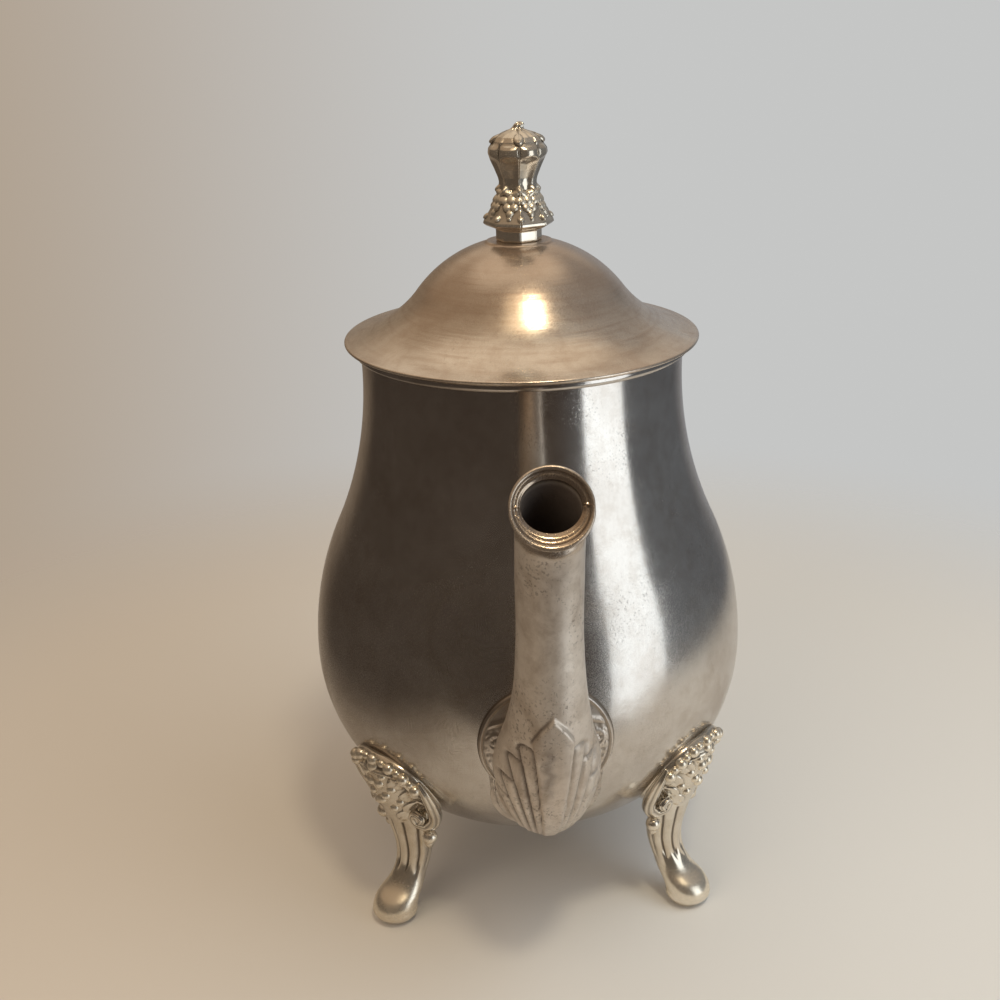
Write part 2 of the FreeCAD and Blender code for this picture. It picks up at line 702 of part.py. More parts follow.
pot_leaf = cut("pot_leaf", fuse("pot_leaf_blank", [pot_leaf_plate] + knuckle_parts), pot_pin_hole)
node("hinge_leaf_pot", pot_leaf, back)

# Hinge leaf on the lid: the centre knuckle and a tongue that lies on the flare
tongue_half_width = "(centre_knuckle_half_width - side_play)"
lid_knuckle = rod_along_y(
    "lid_knuckle", "knuckle_radius", f"-{tongue_half_width}", f"2 * {tongue_half_width}",
    "hinge_reach", "rim_height")
tongue = primitive("Box", "lid_tongue", {
    "Length": "lid_leaf_length",
    "Width": f"2 * {tongue_half_width}",
    "Height": "lid_leaf_thickness",
})
tongue_rise = "lid_leaf_thickness / 2 * cos(lid_leaf_slope)"
tongue_drop = "lid_leaf_thickness / 2 * sin(lid_leaf_slope)"
place(
    tongue,
    x=f"hinge_reach - lid_leaf_length * cos(lid_leaf_slope) - {tongue_drop}",
    y=f"-{tongue_half_width}",
    z=f"rim_height + lid_leaf_length * sin(lid_leaf_slope) - {tongue_rise}",
    axis=Vector(0, 1, 0),
    angle="lid_leaf_slope",
)
lid_form = spun("lid_form", [
    ("0", "mouth_height"),
    ("lid_radius + solder_gap", "mouth_height"),
    (*rim_corner("solder_gap"), "flare_arc - solder_gap", -1),
    (*joint_corner("solder_gap"), "dome_radius + solder_gap", 1),
    ("0", dome_at("0", "solder_gap")),
])
lid_pin_hole = rod_along_y(
    "lid_pin_hole", "pin_radius + running_gap", "-hinge_half_width", "2 * hinge_half_width",
    "hinge_reach", "rim_height")
lid_leaf_blank = fuse("lid_leaf_blank", [lid_knuckle, tongue])
lid_leaf = cut("lid_leaf", lid_leaf_blank, fuse("lid_leaf_room", [lid_form, lid_pin_hole]))
node("hinge_leaf_lid", lid_leaf, back)
hinge_pin = rod_along_y(
    "pin", "pin_radius", "-hinge_half_width - side_play", "2 * (hinge_half_width + side_play)",
    "hinge_reach", "rim_height")
node("hinge_pin", hinge_pin, back)


# Heat break between a socket and the handle: a collar with a spigot each way and a cross pin through each.
# It lies along its own X axis, with the handle on its far side, before it is placed.
half_collar = "insulator_thickness / 2"
spigot_span = "insulator_thickness + 2 * spigot_length"
pin_offset = "(insulator_thickness + spigot_length) / 2"


def heat_break(side, reach, height, tilt):
    at = {"x": reach, "z": height, "axis": Vector(0, 1, 0), "angle": tilt}
    collar = rod_along_x(f"collar_{side}", "socket_end_radius", f"-{half_collar}", "insulator_thickness")
    spigot = rod_along_x(f"spigot_{side}", "spigot_radius", f"-({spigot_span}) / 2", spigot_span)
    span = f"{spigot_span} + 2 * solder_gap"
    spigot_hole = rod_along_x(f"spigot_hole_{side}", "spigot_radius + solder_gap", f"-({span}) / 2", span)
    pins = []
    drills = []
    for end, sign, half in (("socket", "-1", "socket_end_radius"), ("handle", "1", "handle_half_width")):
        offset = f"{sign} * {pin_offset}"
        pins.append(rod_along_y(f"{end}_pin_{side}", "cross_pin_radius", f"-{half}", f"2 * {half}", offset))
        drills.append(rod_along_y(
            f"{end}_drill_{side}", "cross_pin_radius + solder_gap", f"-2 * {half}", f"4 * {half}", offset))
    insulator = cut(f"heat_break_{side}", fuse(f"collar_spigot_{side}", [collar, spigot]),
                    fuse(f"pin_drills_{side}", drills))
    bore = fuse(f"break_room_{side}", [spigot_hole] + drills)
    pin_pair = doc.addObject("Part::Compound", f"pin_pair_{side}")
    pin_pair.Links = pins
    for part in (insulator, bore, pin_pair):
        place(part, **at)
    return insulator, bore, pin_pair


upper_break = heat_break("upper", f"upper_end - {half_collar}", "handle_top", "0")
lower_break = heat_break(
    "lower",
    f"lower_end_reach - {half_collar} * sin(handle_lower_turn)",
    f"lower_end_height - {half_collar} * cos(handle_lower_turn)",
    "handle_lower_turn - 90",
)
node("insulator_upper", upper_break[0], back)
node("insulator_lower", lower_break[0], back)
pin_group = doc.addObject("Part::Compound", "pin_group")
pin_group.Links = [upper_break[2], lower_break[2]]
node("insulator_pins", pin_group, back)


# A socket narrows from the body to its heat break.
def socket(side, reach, height, tilt, run, bore):
    cone = primitive("Cone", f"socket_cone_{side}", {
        "Radius1": "socket_root_radius",
        "Radius2": "socket_end_radius",
        "Height": run,
    })
    place(cone, x=reach, z=height, axis=Vector(0, 1, 0), angle=tilt)
    seated = cut(f"socket_seated_{side}", cone, seated_form)
    return cut(f"socket_bored_{side}", seated, bore)


upper_socket = socket(
    "upper", "upper_seat - socket_length", "handle_top", "90", "2 * socket_length", upper_break[1])
lower_run = "(lower_socket_run + insulator_thickness)"
lower_socket = socket(
    "lower",
    f"lower_end_reach - {lower_run} * sin(handle_lower_turn)",
    f"lower_end_height - {lower_run} * cos(handle_lower_turn)",
    "handle_lower_turn",
    "lower_socket_run",
    lower_break[1],
)
node("handle_socket_upper", upper_socket, back)
node("handle_socket_lower", lower_socket, back)

# Handle: an oval bar along the handle line, bored at both ends for the spigots
handle_line = doc.addObject("PartDesign::Body", "handle_line")
handle_path = draw(handle_line, "XZ_Plane", "handle_path", [
    ("upper_end", "handle_top"),
    ("upper_end + handle_lead", "handle_top", "handle_upper_arc", -1),
    ("handle_side", "upper_side_height", "handle_back_arc", -1),
    ("handle_side", "lower_side_height", "handle_lower_arc", -1),
    ("lower_end_reach", "lower_end_height"),
], closed=False)
handle_oval = primitive("Ellipse", "handle_oval", {
    "MajorRadius": "handle_half_width",
    "MinorRadius": "handle_half_depth",
})
place(handle_oval, x="upper_end", z="handle_top", axis=Vector(1, 1, 1), angle="120")
handle_bar = doc.addObject("Part::Sweep", "handle_bar")
handle_bar.Sections = [handle_oval]
handle_bar.Spine = (handle_path, ["Edge1", "Edge2", "Edge3", "Edge4"])
handle_bar.Solid = True
handle_bored = cut("handle_bored", handle_bar, fuse("handle_room", [upper_break[1], lower_break[1]]))
node("handle", handle_bored, back)

doc.recompute()

failed = [part.Name for part in doc.Objects if {"Invalid", "Error"} & set(part.State)]
if failed:
    raise RuntimeError("these did not build: " + ", ".join(failed))
for label, part in nodes.items():
    if part.Shape.isNull() or not part.Shape.isValid() or not part.Shape.Solids:
        raise RuntimeError(label + " has no valid solid")

os.makedirs("parts", exist_ok=True)
for label, part in nodes.items():
    part.Shape.exportStep(f"parts/{label}.step")
    box = part.Shape.BoundBox
    reach = f"x {box.XMin:.1f} {box.XMax:.1f}, y {box.YMin:.1f} {box.YMax:.1f}"
    print(f"{label}: {len(part.Shape.Solids)} solid(s), {part.Shape.Volume:.1f} mm3,"
          f" {reach}, z {box.ZMin:.1f} {box.ZMax:.1f}")
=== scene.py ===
import math
import bpy
import numpy as np
from mathutils import Matrix, Vector


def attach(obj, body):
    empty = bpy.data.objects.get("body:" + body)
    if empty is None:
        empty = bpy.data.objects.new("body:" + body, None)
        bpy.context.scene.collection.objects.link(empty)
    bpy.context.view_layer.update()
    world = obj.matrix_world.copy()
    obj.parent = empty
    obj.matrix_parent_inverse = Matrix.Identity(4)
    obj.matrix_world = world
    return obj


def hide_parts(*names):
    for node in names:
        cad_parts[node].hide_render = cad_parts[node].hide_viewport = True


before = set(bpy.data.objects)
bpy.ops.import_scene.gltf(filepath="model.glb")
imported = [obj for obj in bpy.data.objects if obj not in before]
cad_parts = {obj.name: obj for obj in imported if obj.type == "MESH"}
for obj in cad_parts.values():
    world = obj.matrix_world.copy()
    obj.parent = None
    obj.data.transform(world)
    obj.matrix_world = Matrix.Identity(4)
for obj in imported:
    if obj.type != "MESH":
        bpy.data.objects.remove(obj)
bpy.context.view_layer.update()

mm = 0.001  # shapes are worked out in millimetres, Blender holds metres
turn = 2 * math.pi
weld = 1e-4  # points nearer than this are one point, so that seams and poles close
film = 0.05  # plates lie this far off the pot's side
clearance = 0.06  # and cast pieces this far


# An S-shaped step: 0 below low, 1 above high.
def ease(low, high, x):
    t = np.clip((x - low) / (high - low), 0, 1)
    return t * t * (3 - 2 * t)


# A height that is reached over one pair of values and lost over another.
def swell(shape, x):
    height, rise, fall = shape
    return height * ease(*rise, x) * (1 - ease(*fall, x))


# A bell: 1 in the middle, falling away over a width.
def bell(x, width):
    return np.exp(-(x / width) ** 2)


# A ridge: a bell with a height, a middle and a width.
def ridge(shape, x):
    height, middle, width = shape
    return height * bell(x - middle, width)


# A dome over the unit circle, 0 outside it.
def dome(a, b):
    return np.sqrt(np.maximum(1 - a ** 2 - b ** 2, 0))


# The higher of two surfaces, rounded where they meet.
def blendMax(a, b, width):
    return (a + b + np.sqrt((a - b) ** 2 + width ** 2)) / 2


# A smooth curve through values at keys: cubic pieces whose slopes are those of their neighbours.
def throughPoints(keys, values, at):
    keys = np.asarray(keys, float)
    values = np.asarray(values, float)
    slope = np.gradient(values, keys, axis=0)
    i = np.clip(np.searchsorted(keys, at, side="right") - 1, 0, len(keys) - 2)
    step = keys[i + 1] - keys[i]
    t = (at - keys[i]) / step
    shape = (-1,) + (1,) * (values.ndim - 1)
    t, step = t.reshape(shape), step.reshape(shape)
    start = values[i] * (1 + 2 * t) * (1 - t) ** 2 + slope[i] * step * t * (1 - t) ** 2
    end = values[i + 1] * t * t * (3 - 2 * t) + slope[i + 1] * step * t * t * (t - 1)
    return start + end


# Length run along a line of points, by their first two columns.
def runLength(table):
    steps = np.hypot(np.diff(table[:, 0]), np.diff(table[:, 1]))
    return np.concatenate([[0], np.cumsum(steps)])


# Points on a circular arc in the (radius, height) plane.
def arc(centre, radius, first, last, count):
    angle = np.radians(np.linspace(first, last, count))
    return np.stack([centre[0] + radius * np.cos(angle), centre[1] + radius * np.sin(angle)], axis=-1)


# One row of angles round a full turn.
def roundAngles(columns):
    return np.linspace(0, turn, columns, endpoint=False)[None, :]


# Points from their three coordinates.
def xyz(x, y, z):
    return np.stack(np.broadcast_arrays(x, y, z), axis=-1)


# Points at a distance from the pot's axis, y to the side and z up.
def offAxis(far, y, z):
    return xyz(np.sqrt(np.maximum(far ** 2 - y ** 2, 1)), y, z)


# Quads between neighbours of a (rows, columns, 3) grid whose columns close round, with two fields on its
# points: relief is 1 on high ground and 0 in a deep hollow, where dirt and painted shade go; the wear field
# is 1 where the surface is rubbed and, on cast silver, where a warm highlight is painted.
def patch(grid, relief=1.0, wornAndGleam=0.0, wrapRows=False):
    rows, columns = grid.shape[:2]
    index = np.arange(rows * columns).reshape(rows, columns)
    if wrapRows:
        index = np.concatenate([index, index[:1]])
    index = np.concatenate([index, index[:, :1]], axis=1)
    corners = [index[:-1, :-1], index[:-1, 1:], index[1:, 1:], index[1:, :-1]]
    quads = np.stack(corners, axis=-1).reshape(-1, 4)
    fields = [np.broadcast_to(field, (rows, columns)).reshape(-1) for field in (relief, wornAndGleam)]
    return grid.reshape(-1, 3), quads, *fields


# A closed profile of (radius, height) points carried round the pot's axis, drawn in by a wobble.
def spun(profile, columns, wobble=None):
    angle = roundAngles(columns)
    radius, height = profile[:, :1], profile[:, 1:]
    if wobble is not None:
        radius = radius - wobble(angle, height)
    return patch(xyz(radius * np.cos(angle), radius * np.sin(angle), height), wrapRows=True)


# A ball as rings from pole to pole, with one size or a size for each axis.
def ball(centre, sizes, rings, columns, wornAndGleam=0.0):
    polar = np.linspace(-math.pi / 2, math.pi / 2, rings)[:, None]
    around = roundAngles(columns)
    unit = xyz(np.cos(polar) * np.cos(around), np.cos(polar) * np.sin(around), np.sin(polar))
    return patch(np.asarray(centre) + unit * np.asarray(sizes), wornAndGleam=wornAndGleam)


# Closes the two ends of a row of rings with their middles, and lengthens its fields to match.
def capped(grid, *fields):
    ends = [np.broadcast_to(ring.mean(axis=0), ring.shape)[None] for ring in (grid[0], grid[-1])]
    closed = np.concatenate([ends[0], grid, ends[1]])
    return closed, *[np.concatenate([field[:1], field, field[-1:]]) for field in fields]


# How far points lie below their surroundings: 1 on high ground, towards 0 in a hollow. Hollows are painted
# darker, as dirt and painted shade.
def highGround(height, passes, gain):
    level = height
    for _ in range(passes):
        wide = np.pad(level, 1, mode="edge")
        level = (wide[:-2, 1:-1] + wide[2:, 1:-1] + wide[1:-1, :-2] + wide[1:-1, 2:]) / 4
    return np.clip(1 + gain * (height - level), 0, 1)


# A patch turned about the pot's axis.
def turned(piecePatch, angle):
    c, s = math.cos(angle), math.sin(angle)
    spin = np.array([[c, s, 0], [-s, c, 0], [0, 0, 1]])
    return piecePatch[0] @ spin, *piecePatch[1:]


# Joins patches into one mesh; a quad whose corners fall together becomes a triangle.
def makeMesh(name, patches):
    counts = np.cumsum([0] + [len(part[0]) for part in patches])
    points = np.concatenate([part[0] for part in patches])
    quads = np.concatenate([part[1] + start for part, start in zip(patches, counts)])
    relief, wornAndGleam = [np.concatenate([part[k] for part in patches]) for k in (2, 3)]
    owner = np.repeat(np.arange(len(patches)), [len(part[0]) for part in patches])
    keys = np.column_stack([np.round(points / weld).astype(np.int64), owner])
    first, inverse = np.unique(keys, axis=0, return_index=True, return_inverse=True)[1:]
    quads = inverse.reshape(-1)[quads]
    apart = quads != np.roll(quads, 1, axis=1)
    sides = apart.sum(axis=1)
    quads, apart, sides = quads[sides > 2], apart[sides > 2], sides[sides > 2]
    corners = quads[apart]
    starts = np.concatenate([[0], np.cumsum(sides)[:-1]])
    mesh = bpy.data.meshes.new(name)
    mesh.vertices.add(len(first))
    mesh.vertices.foreach_set("co", (points[first] * mm).astype(np.float32).ravel())
    mesh.loops.add(len(corners))
    mesh.loops.foreach_set("vertex_index", corners.astype(np.int32))
    mesh.polygons.add(len(starts))
    mesh.polygons.foreach_set("loop_start", starts.astype(np.int32))
    mesh.polygons.foreach_set("use_smooth", np.ones(len(starts), bool))
    for label, field in (("hollow", 1 - relief), ("wornAndGleam", wornAndGleam)):
        layer = mesh.attributes.new(label, "FLOAT", "POINT")
        layer.data.foreach_set("value", field[first].astype(np.float32))
    mesh.update(calc_edges=True)
    mesh.validate()
    return mesh


# A new object in the scene.
def addObject(name, data):
    made = bpy.data.objects.new(name, data)
    bpy.context.scene.collection.objects.link(made)
    return made


# A new piece that rides on a body and stands for nodes of the frame.
def makePiece(name, patches, material, body, nodes):
    piece = addObject(name, makeMesh(name, patches))
    piece.data.materials.append(material)
    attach(piece, body)
    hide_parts(*nodes)
    print(name, len(piece.data.polygons), "faces")
    return piece


# Feeds a shader node: sockets are linked, other entries are set on the socket.
def feed(tree, made, inputs):
    for key, entry in inputs.items():
        if isinstance(entry, bpy.types.NodeSocket):
            tree.links.new(entry, made.inputs[key])
        else:
            made.inputs[key].default_value = entry


# A new shader node with its inputs and its settings.
def shaderNode(tree, kind, inputs=None, **settings):
    made = tree.nodes.new("ShaderNode" + kind)
    for key, setting in settings.items():
        setattr(made, key, setting)
    feed(tree, made, inputs or {})
    return made


# Noise from 0 to 1.
def noise(tree, vector, scale, detail=3.0, rough=0.5, twist=0.0):
    return shaderNode(tree, "TexNoise", {"Vector": vector, "Scale": scale, "Detail": detail,
                                         "Roughness": rough, "Distortion": twist}).outputs["Fac"]


# A smooth step from one value to another while the input goes from low to high.
def ranged(tree, value, low, high, toLow=0.0, toHigh=1.0):
    return shaderNode(tree, "MapRange", {"Value": value, "From Min": low, "From Max": high, "To Min": toLow,
                                         "To Max": toHigh}, interpolation_type="SMOOTHSTEP").outputs["Result"]


# One step of arithmetic.
def maths(tree, operation, a, b):
    return shaderNode(tree, "Math", {0: a, 1: b}, operation=operation).outputs[0]


# A running sum: each mask times its share is added to the start.
def summed(tree, start, *parts):
    for mask, share in parts:
        start = maths(tree, "ADD", start, maths(tree, "MULTIPLY", mask, share))
    return start


# Goes from one colour to another by a share.
def mixed(tree, share, a, b):
    a, b = [(*entry, 1.0) if isinstance(entry, tuple) else entry for entry in (a, b)]
    return shaderNode(tree, "Mix", {0: share, 6: a, 7: b}, data_type="RGBA").outputs[2]


# One of the mesh's own fields.
def attribute(tree, name):
    return shaderNode(tree, "Attribute", attribute_name=name).outputs["Fac"]


# A node material, its tree, its shader and the place of a point on the object.
def newMaterial(name):
    material = bpy.data.materials.new(name)
    material.use_nodes = True
    tree = material.node_tree
    return material, tree, tree.nodes["Principled BSDF"], shaderNode(tree, "TexCoord").outputs["Object"]


# Silver plate. Its tone is a cloudy ground under mottling, stains, brush streaks, painted shade by height,
# specks, dirt and painted shade in hollows, and rubbed spots, which on cast silver are a painted warm
# highlight. Its roughness is the smudges' plus haze, specks, dirt and rubbing. Its bump is pits, soft dents
# and brush lines.
# Stains and haze change with height.
def silver(name, **own):
    look = {**plate, **own}
    material, tree, shader, place = newMaterial(name)
    level = shaderNode(tree, "SeparateXYZ", {0: place}).outputs["Z"]
    cloud = noise(tree, place, look["cloudScale"], 5.0, 0.6, 0.4)
    smudge = noise(tree, place, look["smudgeScale"], 6.0, 0.65, 0.8)
    mottle = noise(tree, place, look["mottleScale"], 6.0, 0.7)
    haze = noise(tree, place, look["hazeScale"], 2.0, 0.6)
    grain = noise(tree, place, look["speckScale"], 2.0, 0.6)
    field = ranged(tree, noise(tree, place, look["fieldScale"]), *look["fieldRange"])
    specks = maths(tree, "MULTIPLY", ranged(tree, grain, *look["speckRange"]), field)
    lines = shaderNode(tree, "Mapping", {"Vector": place, "Scale": look["brushScale"]})
    brushed = noise(tree, lines.outputs[0], 1.0, 3.0, 0.6)
    # dirt and painted shade in hollows, darker the deeper the hollow
    dirt = ranged(tree, attribute(tree, "hollow"), *look["dirtRange"])
    # rubbed spots, and on cast silver a painted warm highlight
    wornAndGleam = attribute(tree, "wornAndGleam")

    layers = [  # mask, share, tone
        (ranged(tree, mottle, *look["mottleRange"]), look["mottleShare"], "tarnish"),
        (ranged(tree, smudge, *look["stainRange"]), ranged(tree, level, *look["clearing"], *look["stains"]),
         "tarnish"),
        (ranged(tree, brushed, *look["brushRange"]), look["brushShare"], "tarnish"),
        (specks, look["speckShare"], "speck"),
        (dirt, look["dirtShare"], "dirt"),
        (wornAndGleam, ranged(tree, cloud, *look["rubAndGleamRange"], *look["rubAndGleamShare"]), "rubbed"),
    ]
    # painted shade by height, in the tarnish tone
    if look["dimShare"]:
        layers.insert(3, (ranged(tree, level, *look["paintedShadeRise"]), look["dimShare"], "tarnish"))
    tone = mixed(tree, ranged(tree, cloud, *look["cloudRange"]), look["bright"], look["dull"])
    for mask, share, colour in layers:
        tone = mixed(tree, maths(tree, "MULTIPLY", mask, share), tone, look[colour])

    rough = ranged(tree, smudge, *look["smudgeRange"], *look["rough"])
    hazeShare = ranged(tree, level, *look["clearing"], *look["haze"])
    haze = ranged(tree, haze, *look["hazeRange"])
    rough = summed(tree, rough, (haze, hazeShare), (specks, look["speckRough"]), (dirt, look["dirtRough"]),
                   (wornAndGleam, look["wornRough"]))
    pits = maths(tree, "MULTIPLY", specks, -look["pitDepth"])
    height = summed(tree, pits, (cloud, look["dentDepth"]), (brushed, look["brushDepth"]))
    bump = shaderNode(tree, "Bump", {"Height": height, "Strength": 1.0, "Distance": mm})
    metal = look["metal"]
    if "wornMetal" in look:
        metal = ranged(tree, wornAndGleam, 0.0, 1.0, metal, look["wornMetal"])
    feed(tree, shader, {"Base Color": tone, "Metallic": metal, "Roughness": rough, "Normal": bump.outputs[0]})
    return material


plate = dict(  # what the silver finishes share; depths in millimetres, heights in metres
    bright=(0.70, 0.66, 0.61), dull=(0.58, 0.53, 0.48), tarnish=(0.38, 0.30, 0.23),
    speck=(0.13, 0.10, 0.08), dirt=(0.10, 0.075, 0.055), rubbed=(0.42, 0.29, 0.17), metal=1.0,
    cloudScale=38.0, cloudRange=(0.30, 0.70), smudgeScale=24.0, smudgeRange=(0.28, 0.72),
    mottleScale=190.0, mottleRange=(0.42, 0.66), mottleShare=0.16,
    clearing=(0.09, 0.16), stainRange=(0.50, 0.72), stains=(0.35, 0.35),  # shares below and above
    hazeScale=8000.0, hazeRange=(0.40, 0.62), haze=(0.16, 0.16),  # roughness below and above
    paintedShadeRise=(0.187, 0.203), dimShare=0.0, dirtRange=(0.1, 0.95), dirtShare=0.9, dirtRough=0.25,
    speckScale=1500.0, speckRange=(0.60, 0.69), speckShare=0.30, speckRough=0.08,
    fieldScale=32.0, fieldRange=(0.40, 0.66), rubAndGleamRange=(0.25, 0.60), rubAndGleamShare=(0.55, 1.0),
    wornRough=0.12, brushScale=(500.0, 500.0, 30.0), brushRange=(0.45, 0.70), brushShare=0.06,
    pitDepth=0.012, dentDepth=0.04, brushDepth=0.003,
)
bodySilver = silver(
    "bodySilver", metal=0.97, rough=(0.08, 0.17), haze=(0.24, 0.03),
    speckShare=0.42, mottleShare=0.22, stains=(0.75, 0.30),
)
# The lid's upper dome carries painted shade.
lidSilver = silver(
    "lidSilver", bright=(0.88, 0.79, 0.68), dull=(0.76, 0.66, 0.55),
    tarnish=(0.58, 0.45, 0.35), metal=0.9, rough=(0.15, 0.25), haze=(0.12, 0.12),
    stains=(0.4, 0.4), smudgeScale=40.0, speckShare=0.12, mottleScale=150.0, mottleShare=0.45,
    brushScale=(45.0, 45.0, 1100.0), brushDepth=0.05, brushShare=0.5, dimShare=0.62,
)
spoutSilver = silver(
    "spoutSilver", bright=(0.78, 0.71, 0.63), dull=(0.64, 0.56, 0.48),
    rubbed=(0.46, 0.35, 0.25), dirt=(0.13, 0.10, 0.085), metal=0.62, wornMetal=0.95,
    wornRough=-0.24, rough=(0.26, 0.40), haze=(0.24, 0.24), mottleShare=0.35, stains=(0.5, 0.5),
    smudgeScale=60.0, speckScale=1000.0, speckRange=(0.56, 0.65), speckShare=0.5,
    fieldScale=55.0, pitDepth=0.04, dentDepth=0.10, brushDepth=0.008,
)
# On cast silver the rubbed tone is a painted warm highlight on leaf clusters, beads and toes.
castSilver = silver(
    "castSilver", bright=(0.88, 0.81, 0.70), dull=(0.74, 0.66, 0.54),
    tarnish=(0.52, 0.42, 0.30), rubbed=(0.94, 0.85, 0.70), metal=0.88, wornRough=0.18,
    rough=(0.10, 0.19), haze=(0.05, 0.05), stains=(0.4, 0.4), speckShare=0.15, dentDepth=0.10,
    cloudScale=90.0,
)
shieldSilver = silver(
    "shieldSilver", bright=(0.72, 0.66, 0.59), dull=(0.58, 0.51, 0.44),
    stains=(0.6, 0.35), rough=(0.24, 0.40), dirtShare=0.6,
)
handleSilver = silver("handleSilver", rough=(0.12, 0.24))
hingeSilver = silver("hingeSilver", rough=(0.22, 0.38))
fixingBrass = silver(
    "fixingBrass", bright=(0.72, 0.52, 0.25), dull=(0.58, 0.40, 0.19),
    tarnish=(0.30, 0.19, 0.09), rough=(0.26, 0.44),
)
print("metals ready")


# Moulded black heat breaks: fine grain, rubbed paler in patches.
def blackMoulding(**look):
    material, tree, shader, place = newMaterial("insulatorBlack")
    grain = noise(tree, place, look["grainScale"])
    rubbed = noise(tree, place, look["rubScale"], 4.0, 0.6)
    tone = mixed(tree, ranged(tree, rubbed, *look["toneRange"]), look["dark"], look["pale"])
    rough = ranged(tree, rubbed, *look["roughRange"], *look["rough"])
    bump = shaderNode(tree, "Bump", {"Height": grain, "Strength": 0.4, "Distance": look["grainDepth"]})
    feed(tree, shader, {"IOR": 1.5, "Base Color": tone, "Roughness": rough, "Normal": bump.outputs["Normal"]})
    return material


insulatorBlack = blackMoulding(
    grainScale=1400.0, grainDepth=0.00005, rubScale=160.0, toneRange=(0.4, 0.7),
    dark=(0.022, 0.020, 0.019), pale=(0.055, 0.050, 0.046), roughRange=(0.3, 0.7), rough=(0.38, 0.56),
)

# Pot body: three arcs up the outside, a rounded mouth, the same arcs inside.
pot = dict(
    bowlCentre=11.497, bowlArc=58.503, shoulderCentre=-28.0, shoulderArc=98.0,
    neckCentre=170.439, neckArc=120.939, belly=80.0, neck=172.5, bend=121.404,
    base=24.5, mouth=181.0, wall=1.0, columns=360,
    outsideSteps=(64, 34, 52), insideSteps=(32, 16, 26), lipSpan=(20, 160), lipSteps=5,
    wave=0.025, waves=((5, 23.0), (7, -31.0)),  # waves round the pot, and height for each radian
    strainerHeight=72.0, strainerRing=7.5, strainerHoles=6, strainerHole=2.0,
    strainerReach=(58.0, 78.0), strainerSides=28, strainerCrease=40.0,
)


# Outside radius of the pot at a height: an arc's centre plus or minus its reach at that height.
def potRadius(z):
    def reach(radius, level):
        return np.sqrt(np.maximum(radius ** 2 - (z - level) ** 2, 1))
    bowl = pot["bowlCentre"] + reach(pot["bowlArc"], pot["belly"])
    shoulder = pot["shoulderCentre"] + reach(pot["shoulderArc"], pot["belly"])
    neck = pot["neckCentre"] - reach(pot["neckArc"], pot["neck"])
    return np.where(z < pot["belly"], bowl, np.where(z < pot["bend"], shoulder, neck))


# Moves points that lie inside the pot's side straight out to it.
def seatOnPot(grid):
    across = np.maximum(np.hypot(grid[..., 0], grid[..., 1]), 1e-6)
    push = np.maximum((potRadius(grid[..., 2]) + clearance) / across, 1.0)
    return grid * np.stack([push, push, np.ones_like(push)], axis=-1)


# The pot's side from base to mouth as three arcs that run into each other, moved out by proud.
def potProfile(proud, counts):
    lowest = -math.degrees(math.asin((pot["belly"] - pot["base"]) / pot["bowlArc"]))
    bendTurn = math.degrees(math.asin((pot["bend"] - pot["belly"]) / pot["shoulderArc"]))
    rise = math.degrees(math.asin((pot["mouth"] - pot["wall"] / 2 - pot["neck"]) / pot["neckArc"]))
    return np.concatenate([
        arc((pot["bowlCentre"], pot["belly"]), pot["bowlArc"] + proud, lowest, 0, counts[0]),
        arc((pot["shoulderCentre"], pot["belly"]), pot["shoulderArc"] + proud, 0, bendTurn, counts[1])[1:],
        arc((pot["neckCentre"], pot["neck"]), pot["neckArc"] - proud,
            180 + bendTurn, 180 - rise, counts[2])[1:],
    ])


# Slow waves left by the spinning, fading out towards the base.
def potWave(angle, height):
    slow = sum(np.sin(count * angle + height / rise) for count, rise in pot["waves"])
    return pot["wave"] * (2 + slow) * ease(pot["base"], pot["belly"], height)


outside = potProfile(0.0, pot["outsideSteps"])
inside = potProfile(-pot["wall"], pot["insideSteps"])[::-1]
lipRound = arc((outside[-1] + inside[0]) / 2, pot["wall"] / 2, *pot["lipSpan"], pot["lipSteps"])
bodyPatch = spun(np.concatenate([outside, lipRound, inside]), pot["columns"], potWave)
potBody = makePiece("potBody", [bodyPatch], bodySilver, "pot", ["pot_bowl", "pot_neck"])


# The strainer: one hole and a ring of holes, bored through the side behind the spout.
def boreStrainer():
    along = np.array(pot["strainerReach"])[:, None]
    around = roundAngles(pot["strainerSides"])
    count, hole, spread = pot["strainerHoles"], pot["strainerHole"], pot["strainerRing"]
    bores = []
    for spot in [None] + list(np.arange(count) * turn / count):
        y, z = (0.0, 0.0) if spot is None else (math.sin(spot), math.cos(spot))
        rings = xyz(along, y * spread + hole * np.cos(around),
                    pot["strainerHeight"] + z * spread + hole * np.sin(around))
        bores.append(patch(*capped(rings)))
    drill = addObject("drill", makeMesh("drill", bores))
    bore = potBody.modifiers.new("bore", "BOOLEAN")
    bore.object = drill
    bore.operation = "DIFFERENCE"
    bore.solver = "EXACT"
    graph = bpy.context.evaluated_depsgraph_get()
    drilled = bpy.data.meshes.new_from_object(potBody.evaluated_get(graph))
    potBody.modifiers.clear()
    potBody.data = drilled
    drilled.set_sharp_from_angle(angle=math.radians(pot["strainerCrease"]))
    bpy.data.objects.remove(drill)
    print("strainer bored", len(drilled.polygons), "faces")


boreStrainer()

# Mouth ring: a half-round section under the lid's rim.
ring = dict(bore=49.85, reach=51.05, height=2.6, round=1.56, steps=14, columns=300)
ringHalf = math.degrees(math.asin(ring["height"] / 2 / ring["round"]))
ringDeep = ring["round"] * math.cos(math.radians(ringHalf))
ringCentre = (ring["reach"] - ringDeep, pot["mouth"] - ring["height"] / 2)
ringFace = arc(ringCentre, ring["round"], -ringHalf, ringHalf, ring["steps"])
ringBack = np.array([[ring["bore"], pot["mouth"]], [ring["bore"], pot["mouth"] - ring["height"]]])
ringPatch = spun(np.concatenate([ringFace, ringBack]), ring["columns"])
makePiece("mouthRing", [ringPatch], bodySilver, "pot", ["mouth_ring"])

